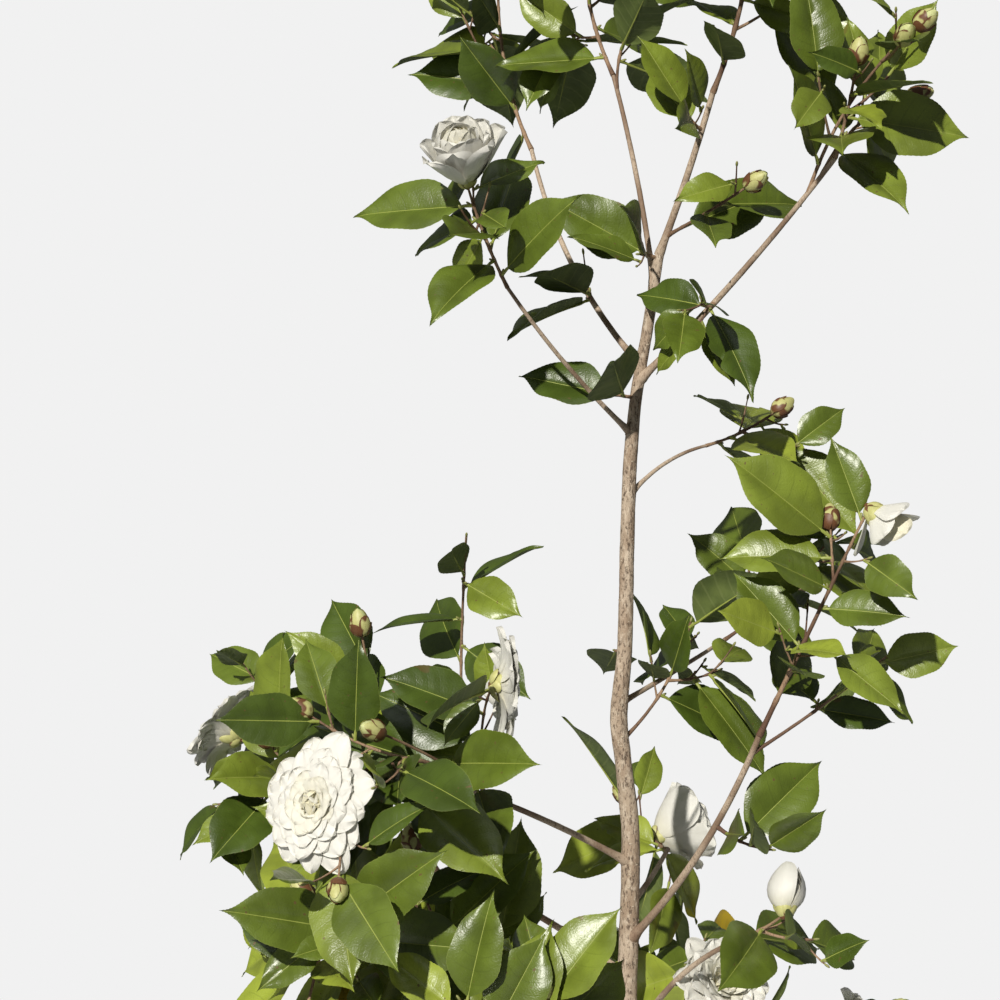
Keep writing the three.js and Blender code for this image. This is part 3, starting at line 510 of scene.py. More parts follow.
def grow():
    """Grows the whole shrub: its limbs, its masses and the space that they leave."""
    space = Space()
    for height in range(0, TRUNK_LINE[-1][0] + 1, TWIG_STEP):
        middle, radius = trunk_at(height)
        space.add([middle], radius + BARK_MARGIN, TRUNK_OWNER, WOOD)
    limbs = {}

    def carrier(plan):
        if plan["on"] == "trunk":
            return trunk_at(plan["at"])
        return limbs[plan["on"]].at(plan["at"]), limbs[plan["on"]].radius(plan["at"])

    for plan in LIMBS:
        root, radius = carrier(plan)
        limb = spring(root, plan, plan["thick"], plan["thin"])
        limb.carrier_radius = radius
        limbs[plan["name"]] = limb
        space.add(*wood_balls(limb, LIMB_STEP, 0), LIMB_OWNER, WOOD)

    masses = []
    for owner, plan in enumerate(MASSES):
        root, radius = carrier(plan)
        stem = spring(root, plan, plan["thick"], STEM_TIP_RADIUS)
        stem.carrier_radius = radius
        stem.has_bud = plan["name"] in TIP_BUDS
        space.add(*wood_balls(stem, LIMB_STEP, 0), owner, WOOD)
        mass = {"plan": plan, "stem": stem, "bloom": None}
        mass["clear"] = max(plan["bare"], (radius + STEM_CLEAR) / stem.length())
        if plan["name"] in BLOOMS:
            mass["bloom"] = bloom_on(stem, BLOOMS[plan["name"]])
            reserve_bloom(space, mass["bloom"], owner)
        if stem.has_bud:
            space.add([stem.tip + stem.along(1) * BUD_SIZE], BUD_SIZE, owner, BLOOM)
        masses.append(mass)

    for owner, mass in enumerate(masses):
        plan, stem = mass["plan"], mass["stem"]
        roll = dice(plan["seed"])
        mass["twigs"] = grow_twigs(plan, stem, space, owner, roll)
        mass["leaves"] = [grow_leaves(stem, mass["clear"], plan["leaf_gap"], space, owner, roll)]
        for twig in mass["twigs"]:
            mass["leaves"].append(
                grow_leaves(twig, TWIG_BARE, plan["leaf_gap"], space, owner, roll))
    return limbs, masses, space


def grow_fine_twigs(masses, space):
    """Carries each mass on to finer twigs with small leaves, within its solid's reach."""
    free = [(mass["bloom"]["root"] + mass["bloom"]["axis"] * SHOWN_UP,
             mass["bloom"]["width"] * SHOWN_SHARE) for mass in masses if mass["bloom"]]
    free += [(shoot.tip + shoot.along(1) * BUD_SIZE, BUD_SIZE)
             for mass in masses for shoot in [mass["stem"]] + mass["twigs"] if shoot.has_bud]
    for owner, mass in enumerate(masses):
        low, high = (np.array(corner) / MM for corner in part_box(mass["plan"]["name"]))
        reach = (low - REACH_OVER, high + REACH_OVER)
        roll = dice(mass["plan"]["seed"] + FINE_SEED)
        mass["fine_twigs"] = []
        for shoot in [mass["stem"]] + mass["twigs"]:
            first = roll(0, 360)
            for k in range(FINE_TWIGS):
                step = (FINE_LAST - FINE_FIRST) * (k + 0.5) / FINE_TWIGS
                at = FINE_FIRST + step + roll(*TWIG_STOP_SWAY)
                if at * shoot.length() < shoot.carrier_radius + STEM_CLEAR:
                    continue
                for trial in range(TRIALS):
                    turn = first + SPIRAL * k + trial * TWIG_TRY
                    axis = leaving(shoot, at, turn, roll(*TWIG_OFF), 0)
                    twig = side_twig(shoot, at, axis, roll(*FINE_LENGTHS), FINE_RADIUS,
                                     FINE_TIP_RADIUS)
                    points, radii = wood_balls(twig, TWIG_STEP, TWIG_BARE)
                    if space.hits(points, FINE_ROOM, owner, OWN_ROOM_SHARE):
                        continue
                    leaves = grow_leaves(twig, TWIG_BARE, FINE_GAP, space, owner, roll,
                                         FINE_LEAF, reach, free)
                    if leaves:
                        shoot.knots.append(at)
                        twig.has_bud = False
                        space.add(points, radii, owner, WOOD)
                        mass["fine_twigs"].append(twig)
                        mass["leaves"].append(leaves)
                        break


# ---------------------------------------------------------------- mesh making

GRAIN = "grain"  # the name of each piece's UV map
HALF_ACROSS = 0.499  # half a blade's width in its UV, just short of the next blade's number
SHARP_ANGLE = 60
TOOTH_FORWARD = 0.7  # how far towards the next row of points a tooth of the margin leans


def new_object(name, data):
    made = bpy.data.objects.new(name, data)
    bpy.context.scene.collection.objects.link(made)
    return made


def finished(name, mesh, sharp=None):
    """Makes a mesh a smooth piece of the shrub, with its edges sharp past an angle if given."""
    mesh.name = name
    mesh.shade_smooth()
    if sharp:
        mesh.set_sharp_from_angle(angle=math.radians(sharp))
    made = new_object(name, mesh)
    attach(made, "root")
    return made


class Joined:
    """Many small shapes gathered into one mesh."""

    def __init__(self):
        self.points, self.faces, self.kinds, self.spots = [], [], [], []
        self.count = 0

    def add(self, points, faces, kinds=None, spots=None):
        """Adds points in mm, faces, each face's material number and each point's UV."""
        self.points.append(np.asarray(points))
        self.faces.extend([[i + self.count for i in face] for face in faces])
        self.kinds.extend(kinds or [0] * len(faces))
        self.spots.append(np.zeros((len(points), 2)) if spots is None else np.asarray(spots))
        self.count += len(points)

    def piece(self, name, slot, materials):
        mesh = bpy.data.meshes.new(name)
        mesh.from_pydata((np.vstack(self.points) * MM).tolist(), [], self.faces)
        layer = mesh.uv_layers.new(name=GRAIN)
        corners = np.zeros(len(mesh.loops), int)
        mesh.loops.foreach_get("vertex_index", corners)
        layer.data.foreach_set("uv", np.vstack(self.spots)[corners].ravel())
        for material in materials:
            mesh.materials.append(material)
        mesh.polygons.foreach_set("material_index", self.kinds)
        return finished(name, mesh, SHARP_ANGLE)


def own_spots(s, v, number):
    """A blade's UV: how far along it each point is, and its number plus how far across."""
    return np.stack([s, number + (v + 1) * HALF_ACROSS], axis=1)


def sheet_pattern(rows, columns, toothed=False):
    """A thin closed sheet that comes to a point at both ends.

    Gives each point's s, v, whether it is on the under side and whether it is a tooth of the
    margin; the faces, and each face's side as a material number. The two sides share their
    margin and are cut into triangles alike.
    """
    spots = [(0, 0, 0, 0), (1, 0, 0, 0)]
    index, teeth = {}, {}
    last, end = len(columns) - 1, len(rows) - 1

    def put(*spot):
        spots.append(spot)
        return len(spots) - 1

    for r, s in enumerate(rows):
        for c, v in enumerate(columns):
            index[r, c, 0] = index[r, c, 1] = put(s, v, 0, 0)
            if 0 < c < last:
                index[r, c, 1] = put(s, v, 1, 0)
            elif toothed and r < end:
                teeth[r, c] = put(s + TOOTH_FORWARD * (rows[r + 1] - s), v, 0, 1)
    faces, sides = [], []
    for side in (0, 1):
        for c in range(last):
            made = [[0, index[0, c + 1, side], index[0, c, side]],
                    [index[end, c, side], index[end, c + 1, side], 1]]
            for r in range(end):
                a, b = index[r, c, side], index[r, c + 1, side]
                e, d = index[r + 1, c + 1, side], index[r + 1, c, side]
                if (r, c) in teeth:
                    tooth = teeth[r, c]
                    made += [[a, b, tooth], [b, e, tooth], [tooth, e, d]]
                elif (r, c + 1) in teeth:
                    tooth = teeth[r, c + 1]
                    made += [[a, b, tooth], [a, tooth, d], [tooth, e, d]]
                else:
                    made += [[a, b, e], [a, e, d]]
            faces += [face[::-1] if side else face for face in made]
            sides += [side] * len(made)
    return np.array(spots, float).T, faces, sides


def around_turns(sides):
    return np.arange(sides) * 2 * math.pi / sides


def tube_faces(rings, sides):
    """Faces of a closed tube whose points come ring by ring, and then the middles of its ends."""
    faces = []
    for r in range(rings - 1):
        for c in range(sides):
            d = (c + 1) % sides
            faces.append([r * sides + c, r * sides + d, (r + 1) * sides + d, (r + 1) * sides + c])
    first, top = rings * sides, (rings - 1) * sides
    for c in range(sides):
        d = (c + 1) % sides
        faces += [[first, d, c], [first + 1, top + c, top + d]]
    return faces


def tube(points, radii, sides, flat):
    """A closed tube along points, its seams turned by one direction square to its path."""
    points = np.asarray(points)
    ways = np.gradient(points, axis=0)
    ways /= np.linalg.norm(ways, axis=1)[:, None]
    side = flat - ways * (ways @ flat)[:, None]
    side /= np.linalg.norm(side, axis=1)[:, None]
    other = np.cross(ways, side)
    turns = around_turns(sides)
    rings = (points[:, None, :] + np.asarray(radii).reshape(len(points), -1)[..., None]
             * (side[:, None, :] * np.cos(turns)[None, :, None]
                + other[:, None, :] * np.sin(turns)[None, :, None]))
    ends = [points[0], points[-1] + ways[-1] * np.mean(radii[-1]) * 0.5]
    return np.vstack([rings.reshape(-1, 3), ends]), tube_faces(len(points), sides)


def tube_level(points, radii, turns):
    """A closed tube whose rings lie level, for an upright trunk with a flat cut."""
    ways = np.stack([np.cos(turns), np.sin(turns), np.zeros(len(turns))], axis=1)
    rings = points[:, None, :] + radii[..., None] * ways[None, :, :]
    return (np.vstack([rings.reshape(-1, 3), points[0], points[-1]]),
            tube_faces(len(points), len(turns)))


# ---------------------------------------------------------------- shader making

class Term:
    """A socket's value in a shader sum: its operators add Math nodes."""

    def __init__(self, finish, socket):
        self.finish, self.socket = finish, socket

    def math(self, operation, *values):
        return self.finish.node("ShaderNodeMath", {"operation": operation}, dict(enumerate(values)))

    def __add__(self, other):
        return self.math("ADD", self, other)

    def __sub__(self, other):
        return self.math("SUBTRACT", self, other)

    def __rsub__(self, other):
        return self.math("SUBTRACT", other, self)

    def __mul__(self, other):
        return self.math("MULTIPLY", self, other)

    def __truediv__(self, other):
        return self.math("DIVIDE", self, other)

    __radd__, __rmul__ = __add__, __mul__

    def fraction(self):
        return self.math("FRACT", self)

    def bands(self, count):
        """Runs from 0 on a line to 0.5 midway to the next, so many times over."""
        return self.math("PINGPONG", self * count, 0.5)


class Finish:
    """One material, its nodes and its shader."""

    def __init__(self, name, **fixed):
        self.material = bpy.data.materials.new(name)
        self.material.use_nodes = True
        self.tree = self.material.node_tree
        self.shader = self.tree.nodes["Principled BSDF"]
        for socket, value in fixed.items():
            self.shader.inputs[socket.replace("_", " ").title()].default_value = value

    def node(self, kind, settings=None, inputs=None, out=0):
        """Adds a node: its settings first, then its inputs' values or links."""
        made = self.tree.nodes.new(kind)
        for setting, value in (settings or {}).items():
            setattr(made, setting, value)
        for socket, value in (inputs or {}).items():
            if isinstance(value, Term):
                self.tree.links.new(value.socket, made.inputs[socket])
            elif made.inputs[socket].type == "RGBA":
                made.inputs[socket].default_value = (*value, 1)
            else:
                made.inputs[socket].default_value = value
        return Term(self, made.outputs[out])

    def place(self):
        return self.node("ShaderNodeTexCoord", out="Object")

    def grain(self):
        """The piece's own UV: how far along, and a blade's number plus how far across."""
        spot = self.node("ShaderNodeUVMap", {"uv_map": GRAIN})
        return [self.node("ShaderNodeSeparateXYZ", None, {0: spot}, out=i) for i in (0, 1)]

    def noise(self, scale, detail=3.0, roughness=0.5, upright=1):
        """Noise all over the piece, drawn out upwards where upright is below 1."""
        place = self.place()
        if upright < 1:
            place = self.node("ShaderNodeMapping", None,
                              {"Vector": place, "Scale": (1, 1, upright)})
        return self.node("ShaderNodeTexNoise", None, {"Vector": place, "Scale": scale,
                                                      "Detail": detail, "Roughness": roughness})

    def step(self, value, low, high):
        """0 below low, 1 above high and smooth between."""
        return self.node("ShaderNodeMapRange", {"interpolation_type": "SMOOTHSTEP"},
                         {"Value": value, "From Min": low, "From Max": high})

    def mix(self, first, second, share):
        return self.node("ShaderNodeMix", {"data_type": "RGBA"},
                         {0: share, 6: first, 7: second}, out=2)

    def bump(self, height, distance, strength):
        made = self.node("ShaderNodeBump", None,
                         {"Height": height, "Distance": distance, "Strength": strength})
        self.feed(Normal=made)

    def feed(self, **sums):
        for socket, term in sums.items():
            self.tree.links.new(term.socket, self.shader.inputs[socket.replace("_", " ")])


def shade(colour, share):
    return tuple(channel * share for channel in colour)


# ---------------------------------------------------------------- finishes

VEIN_PAIRS = 8
PETAL_LINES = 13
SPRAY_COLOURS = {
    "fresh": (0.160, 0.206, 0.024),
    "mid": (0.096, 0.134, 0.015),
    "deep": (0.055, 0.086, 0.010),
    "young": (0.235, 0.285, 0.032),
    "turning": (0.360, 0.255, 0.022),
}
MARGIN_COLOUR = (0.290, 0.330, 0.080)
SPECK_BROWN = (0.110, 0.060, 0.020)
SCALE_BROWN = (0.140, 0.058, 0.024)
PETAL_SOFT_RADIUS = (1.0, 0.98, 0.94)  # how evenly light spreads in a petal, by colour
PETAL_SOFT_DEPTH = 0.002


def from_rib(across):
    """How far across its blade a spot lies: 0 at the rib, 1 at the margin."""
    place = across.fraction() - 0.5
    return place.math("ABSOLUTE", place) * 2


def leaf_finish(name, colour):
    """The upper face: waxy, with faint side veins, a pale margin, a mottle and a few specks."""
    finish = Finish(name, coat_weight=0.27, coat_roughness=0.3)
    s, across = finish.grain()
    v = from_rib(across)
    vein = 1 - finish.step(s.bands(VEIN_PAIRS), 0.01, 0.07)
    vein = vein * (1 - finish.step(v, 0.5, 0.95))
    mottle = finish.noise(30.0)
    cells = finish.noise(700.0, 2.0)
    specks = finish.step(finish.noise(240.0, 1.0), 0.74, 0.765)
    blotch = finish.step(finish.noise(42.0, 2.0), 0.70, 0.74) * finish.step(v, 0.4, 0.8)
    base = finish.mix(shade(colour, 0.78), shade(colour, 1.25), finish.step(mottle, 0.3, 0.7))
    darker = vein * 0.35 + finish.step(cells, 0.62, 0.72) * 0.25
    base = finish.mix(base, shade(colour, 0.70), darker)
    base = finish.mix(base, MARGIN_COLOUR, finish.step(v, 0.97, 1.0) * 0.35)
    base = finish.mix(base, SPECK_BROWN, specks * 0.8 + blotch * 0.55)
    finish.feed(Base_Color=base, Roughness=0.27 + mottle * 0.16 + specks * 0.2)
    finish.bump(cells * 0.9 - vein * 0.15, 0.0005, 0.6)
    return finish.material


def underside_finish():
    """The lower face: dull and pale, with raised side veins."""
    finish = Finish("leaf_underside", roughness=0.62)
    vein = 1 - finish.step(finish.grain()[0].bands(VEIN_PAIRS), 0.02, 0.12)
    mottle = finish.noise(45.0)
    base = finish.mix((0.080, 0.112, 0.026), (0.130, 0.170, 0.042),
                      finish.step(mottle, 0.3, 0.7))
    finish.feed(Base_Color=finish.mix(base, (0.180, 0.215, 0.070), vein * 0.4))
    finish.bump(vein + mottle, 0.0002, 0.4)
    return finish.material


def mottled_finish(name, roughness, first, second, scale, relief=0.0, strength=0.0):
    """One stuff, mottled from a first colour to a second, with a little relief."""
    finish = Finish(name, roughness=roughness)
    mottle = finish.noise(scale)
    finish.feed(Base_Color=finish.mix(first, second, mottle))
    if relief:
        finish.bump(mottle, relief, strength)
    return finish.material


def trunk_finish():
    """Beige-brown bark: short upright fissures whose hollows go nearly black, their own darker bark
    with painted shade, flakes, grey patches and a fine grain.
    """
    finish = Finish("bark_of_trunk")
    fissures = finish.noise(520.0, 5.0, 0.72, upright=0.36)
    flakes = finish.noise(190.0, 3.0, 0.6, upright=0.45)
    patches = finish.noise(40.0, upright=0.5)
    fine = finish.noise(1300.0)
    base = finish.mix((0.310, 0.225, 0.155), (0.470, 0.375, 0.280),
                      finish.step(patches, 0.35, 0.65))
    base = finish.mix(base, (0.640, 0.540, 0.420), finish.step(flakes, 0.50, 0.66) * 0.6)
    # The fissures' hollows are painted nearly black: their darker bark, with painted shade in them.
    cracks_and_shade = 1 - finish.step(fissures, 0.385, 0.505)
    base = finish.mix(base, (0.085, 0.055, 0.035), cracks_and_shade * 0.92)
    base = finish.mix(base, (0.700, 0.620, 0.500), finish.step(fine, 0.58, 0.74) * 0.45)
    finish.feed(Base_Color=base, Roughness=0.75 + fine * 0.2)
    finish.bump(fissures + flakes * 0.5 + fine * 0.2, 0.0009, 0.75)
    return finish.material


def wood_finish(name, dark, pale, streak):
    """Young wood: from dark to pale in patches, with fine streaks along it."""
    finish = Finish(name)
    patches = finish.noise(24.0)
    streaks = finish.noise(560.0, 4.0, 0.66, upright=0.4)
    base = finish.mix(dark, pale, finish.step(patches, 0.34, 0.62))
    base = finish.mix(base, streak, finish.step(streaks, 0.52, 0.66) * 0.7)
    base = finish.mix(base, shade(dark, 0.6), (1 - finish.step(streaks, 0.36, 0.46)) * 0.7)
    finish.feed(Base_Color=base, Roughness=0.62 + streaks * 0.25)
    finish.bump(streaks, 0.0004, 0.6)
    return finish.material


def petal_finish(name, outer, inner, softness=0.25):
    """Soft petal: tinted warm where it leaves the heart, its own cream with painted warm shade
    where the petals overlap; faint lines along it.
    """
    finish = Finish(name, subsurface_weight=softness, subsurface_scale=PETAL_SOFT_DEPTH,
                    subsurface_radius=PETAL_SOFT_RADIUS)
    s, across = finish.grain()
    lines = across.fraction().bands(PETAL_LINES)
    mottle = finish.noise(60.0)
    # Towards the foot the inner tint takes over: the petal's own cream, with painted warm shade
    # where the petals overlap.
    base = finish.mix(inner, outer, finish.step(s, 0.02, 0.5))
    base = finish.mix(base, shade(outer, 0.93), mottle * 0.3)
    finish.feed(Base_Color=base, Roughness=0.5 + mottle * 0.15)
    finish.bump(lines * 0.5 + mottle, 0.0004, 0.35)
    return finish.material


def scale_finish():
    """Bud scales: pale yellow-green and downy, with brown margins and a brown foot."""
    finish = Finish("bud_scale")
    s, across = finish.grain()
    down = finish.noise(500.0)
    blotch = finish.noise(95.0, 1.0)
    rim = finish.step(from_rib(across), 0.7, 0.98) + finish.step(s, 0.9, 0.99)
    low = 1 - across.math("FLOOR", across) / BUD_SCALES
    brown = finish.step(blotch * 1.6 + low * 0.5 + rim * 0.2, 1.06, 1.2)
    base = finish.mix((0.400, 0.400, 0.130), (0.580, 0.560, 0.250), down)
    finish.feed(Base_Color=finish.mix(base, SCALE_BROWN, brown), Roughness=0.42 + down * 0.15)
    finish.bump(down, 0.0003, 0.4)
    return finish.material


# ---------------------------------------------------------------- wood

TRUNK_STEP = 2.1
TRUNK_SIDES = 42
KNOT, KNOT_LENGTH = 0.42, 2.2  # the swelling of a twig at a leaf
FLAKE, FLAKE_WIDTH = 0.32, 2.4  # depth and width of the trunk's bark relief
GROOVE, GROOVE_WIDTH = 0.12, 1.8  # of young wood's
DRAWN_OUT = 0.16  # how much slower relief changes along the wood than round it
LUMP, LUMP_ROUND, LUMP_ALONG = 0.055, 1.3, 0.03  # a share of the trunk's radius, and its pace
LOBES, LOBE, LOBE_TURN, LOBE_FADE = 4, 0.1, 0.6, 28  # root lobes, gone by a few fades up
COLLAR, COLLAR_RISE, COLLAR_SPAN = 0.32, 5, 2.4  # swelling under a bough, by its thickness
COLLAR_NEAR = 6  # thicknesses from a bough beyond which its collar is nothing

# Tubes: sides, mm from ring to ring, and how far up from its carrier a shoot's foot is swollen.
BOUGH_SIDES, BOUGH_STEP, BOUGH_FOOT = 16, 2.5, 7
STEM_SIDES, WOOD_STEP, STEM_FOOT = 10, 3, 5
TWIG_TUBES = [("twigs", 8, 0.5, 4), ("fine_twigs", 6, 0.3, 3)]  # rank, sides, swelling, its reach
BOUGH_SWELL, BOUGH_SWELL_LEAST, STEM_SWELL, STEM_SWELL_MOST = 0.75, 0.2, 0.6, 0.3


def ridges(way, radius, along, cell):
    """Relief drawn out along the wood, from about -1 to 1: cell is its width round the wood."""
    spot = Vector((way[0] * radius, way[1] * radius, along * DRAWN_OUT)) / cell
    return noise.fractal(spot, 0.7, 2.1, 4)


def trunk_skin(turn, height, radius, collars):
    """How far the bark stands from the trunk's middle, on one side at one height."""
    way = (math.cos(turn), math.sin(turn))
    spot = Vector((way[0] * LUMP_ROUND, way[1] * LUMP_ROUND, height * LUMP_ALONG))
    lump = LUMP * radius * noise.noise(spot)
    lobes = LOBE * radius * math.exp(-height / LOBE_FADE) * math.cos(LOBES * turn + LOBE_TURN)
    collar = sum(COLLAR * thick
                 * math.exp(-((height - at - COLLAR_RISE) / (COLLAR_SPAN * thick)) ** 2)
                 * max(0, math.cos(turn - math.radians(out))) ** 3
                 for at, out, thick in collars)
    return radius + lump + FLAKE * ridges(way, radius, height, FLAKE_WIDTH) + lobes + collar


def trunk_piece():
    """The trunk with its fissured relief, flare and the collars where boughs leave it."""
    top = TRUNK_LINE[-1][0]
    turns = around_turns(TRUNK_SIDES)
    collars = [(plan["at"], plan["turn"], plan["thick"]) for plan in LIMBS if plan["on"] == "trunk"]
    points, radii = [], []
    for height in np.linspace(0, top, int(top / TRUNK_STEP)):
        middle, radius = trunk_at(height)
        near = [collar for collar in collars if abs(collar[0] - height) < COLLAR_NEAR * collar[2]]
        points.append(middle)
        radii.append([trunk_skin(turn, height, radius, near) for turn in turns])
    wood = Joined()
    wood.add(*tube_level(np.array(points), np.array(radii), turns))
    return wood.piece("trunk_bark", "trunk_bark", [trunk_finish()])


def shoot_tube(shoot, sides, step, swell, reach):
    """A shoot's tube, swollen where it leaves its carrier and at each leaf, grooved along."""
    length = shoot.length()
    count = max(8, int(length / step))
    stops = np.linspace(0, 1, count + 1)
    points = np.array([shoot.at(t) for t in stops])
    flat = np.cross(shoot.bend - shoot.root, shoot.tip - shoot.root)
    flat = unit(flat) if np.linalg.norm(flat) > 1 else around(shoot.along(0.5), 0)
    from_bark = np.maximum(0, stops * length - shoot.carrier_radius)
    radii = np.array([shoot.radius(t) for t in stops]) + swell * np.exp(-from_bark / reach)
    for knot in shoot.knots:
        radii += KNOT * np.exp(-(((stops - knot) * length) / KNOT_LENGTH) ** 2)
    ways = [(math.cos(a), math.sin(a)) for a in around_turns(sides)]
    start = float(shoot.root.sum())
    relief = [[GROOVE * ridges(way, radius, start + t * length, GROOVE_WIDTH) for way in ways]
              for t, radius in zip(stops, radii)]
    return tube(points, radii[:, None] + np.array(relief), sides, flat)


def bough_piece(limbs):
    wood = Joined()
    for limb in limbs.values():
        room = max(BOUGH_SWELL_LEAST, limb.carrier_radius - limb.root_radius)
        swell = min(BOUGH_SWELL * limb.root_radius, room)
        wood.add(*shoot_tube(limb, BOUGH_SIDES, BOUGH_STEP, swell, BOUGH_FOOT))
    bark = wood_finish("bark_of_boughs", (0.230, 0.150, 0.098), (0.500, 0.395, 0.290),
                       (0.160, 0.095, 0.060))
    return wood.piece("bough_bark", "bough_bark", [bark])


def twig_piece(masses):
    wood = Joined()
    for mass in masses:
        stem = mass["stem"]
        swell = min(STEM_SWELL * stem.root_radius, stem.carrier_radius * STEM_SWELL_MOST)
        wood.add(*shoot_tube(stem, STEM_SIDES, WOOD_STEP, swell, STEM_FOOT))
        for rank, sides, swell, reach in TWIG_TUBES:
            for twig in mass[rank]:
                wood.add(*shoot_tube(twig, sides, WOOD_STEP, swell, reach))
    bark = wood_finish("bark_of_twigs", (0.120, 0.062, 0.036), (0.330, 0.215, 0.130),
                       (0.075, 0.040, 0.026))
    return wood.piece("twig_bark", "bough_bark", [bark])


def add_node(group, kind, inputs=None, **settings):
    """Adds a node to a tree: its settings first, then its inputs' values or links."""
    made = group.nodes.new(kind)
    for setting, value in settings.items():
        setattr(made, setting, value)
    for socket, value in (inputs or {}).items():
        if isinstance(value, bpy.types.NodeSocket):
            group.links.new(value, made.inputs[socket])
        else:
            made.inputs[socket].default_value = value
    return made


def laid_out(name, sizes, seat, material, lay):
    """Runs a tree of nodes on a seat's mesh and returns what it lays there as a plain mesh.

    The tree has an input for each size; `lay` adds the nodes that lay its small shapes.
    """
    group = bpy.data.node_groups.new(name, "GeometryNodeTree")
    group.interface.new_socket("Geometry", in_out="INPUT", socket_type="NodeSocketGeometry")
    keys = {}
    for size, value in sizes.items():
        item = group.interface.new_socket(size, in_out="INPUT", socket_type="NodeSocketFloat")
        item.default_value = value
        keys[size] = item.identifier
    group.interface.new_socket("Geometry", in_out="OUTPUT", socket_type="NodeSocketGeometry")
    placed = lay(group, group.nodes.new("NodeGroupInput").outputs)
    real = add_node(group, "GeometryNodeRealizeInstances",
                    {"Geometry": placed.outputs["Instances"]})
    dressed = add_node(group, "GeometryNodeSetMaterial",
                       {"Geometry": real.outputs["Geometry"], "Material": material})
    add_node(group, "NodeGroupOutput", {"Geometry": dressed.outputs["Geometry"]})
    modifier = seat.modifiers.new(name, "NODES")
    modifier.node_group = group
    for size, value in sizes.items():
        modifier[keys[size]] = value
    seen = seat.evaluated_get(bpy.context.evaluated_depsgraph_get())
    mesh = bpy.data.meshes.new_from_object(seen)
    seat.modifiers.remove(modifier)
    return mesh


LENTICEL_SIZES = {"Each square metre": 9000.0, "Width": 0.0009}
LENTICEL_SHAPE = (1.5, 0.75, 0.4)  # a low oval
LENTICEL_SCALES = (0.45, 1.15)
LENTICEL_SEED, LENTICEL_SCALE_SEED = 11, 4
CUT_CLEAR = 0.002  # height above the cut from which they stand
AXIL_SIZES = {"Length": 0.0062, "Width": 0.0024}
AXIL_OUT, AXIL_ASIDE = 2.0, 0.4  # where a bud sits from its leaf's foot
AXIL_LIFT = 0.35  # share of its length that a bud stands above its seat


def lenticel_piece(trunk, material):
    """Pale warty ovals scattered on the bark of the trunk."""
    def lay(group, given):
        place = group.nodes.new("GeometryNodeInputPosition")
        parts = add_node(group, "ShaderNodeSeparateXYZ", {0: place.outputs[0]})
        above = add_node(group, "FunctionNodeCompare", {0: parts.outputs["Z"], 1: CUT_CLEAR},
                         data_type="FLOAT", operation="GREATER_THAN")
        points = add_node(group, "GeometryNodeDistributePointsOnFaces",
                          {"Mesh": given["Geometry"], "Selection": above.outputs[0],
                           "Density": given["Each square metre"], "Seed": LENTICEL_SEED})
        ball = add_node(group, "GeometryNodeMeshUVSphere",
                        {"Segments": 7, "Rings": 4, "Radius": given["Width"]})
        flat = add_node(group, "GeometryNodeTransform",
                        {"Geometry": ball.outputs["Mesh"], "Scale": LENTICEL_SHAPE})
        size = add_node(group, "FunctionNodeRandomValue",
                        {2: LENTICEL_SCALES[0], 3: LENTICEL_SCALES[1],
                         "Seed": LENTICEL_SCALE_SEED}, data_type="FLOAT")
        return add_node(group, "GeometryNodeInstanceOnPoints",
                        {"Points": points.outputs["Points"], "Instance": flat.outputs["Geometry"],
                         "Rotation": points.outputs["Rotation"], "Scale": size.outputs[1]})

    warts = laid_out("lenticels", LENTICEL_SIZES, trunk, material, lay)
    return finished("lenticels", warts)


def axil_seats(masses):
    """Where a small bud sits, in each leaf's axil and at each bare tip, and where it points."""
    seats, ways = [], []
    for mass in masses:
        shoots = [mass["stem"]] + mass["twigs"] + mass["fine_twigs"]
        for shoot, leaves in zip(shoots, mass["leaves"]):
            for leaf in leaves:
                seats.append(leaf.base + leaf.axis * AXIL_OUT + around(leaf.axis, 90) * AXIL_ASIDE)
                ways.append(unit(leaf.axis + shoot.along(1)))
            if not shoot.has_bud and not (shoot is mass["stem"] and mass["bloom"]):
                seats.append(shoot.tip)
                ways.append(shoot.along(1))
    return np.array(seats), np.array(ways)


def axil_piece(masses, material):
    """A small pointed bud on each seat."""
    def lay(group, given):
        points = add_node(group, "GeometryNodeMeshToPoints", {"Mesh": given["Geometry"]})
        way = add_node(group, "GeometryNodeInputNamedAttribute", {"Name": "way"},
                       data_type="FLOAT_VECTOR")
        turn = add_node(group, "FunctionNodeAlignRotationToVector",
                        {"Vector": way.outputs["Attribute"]}, axis="Z")
        egg = add_node(group, "GeometryNodeMeshUVSphere",
                       {"Segments": 6, "Rings": 4, "Radius": 0.5})
        stretch = add_node(group, "ShaderNodeCombineXYZ",
                           {"X": given["Width"], "Y": given["Width"], "Z": given["Length"]})
        lifted = add_node(group, "GeometryNodeTransform",
                          {"Geometry": egg.outputs["Mesh"], "Translation": (0, 0, AXIL_LIFT)})
        return add_node(group, "GeometryNodeInstanceOnPoints",
                        {"Points": points.outputs["Points"], "Instance": lifted.outputs["Geometry"],
                         "Rotation": turn.outputs["Rotation"], "Scale": stretch.outputs["Vector"]})

    seats, ways = axil_seats(masses)
    mesh = bpy.data.meshes.new("axil_seats")
    mesh.from_pydata((seats * MM).tolist(), [], [])
    mesh.attributes.new("way", "FLOAT_VECTOR", "POINT").data.foreach_set("vector", ways.ravel())
    seat = new_object("axil_seats", mesh)
    buds = laid_out("axil_buds", AXIL_SIZES, seat, material, lay)
    bpy.data.objects.remove(seat)
    return finished("axil_buds", buds)


# ---------------------------------------------------------------- leaves

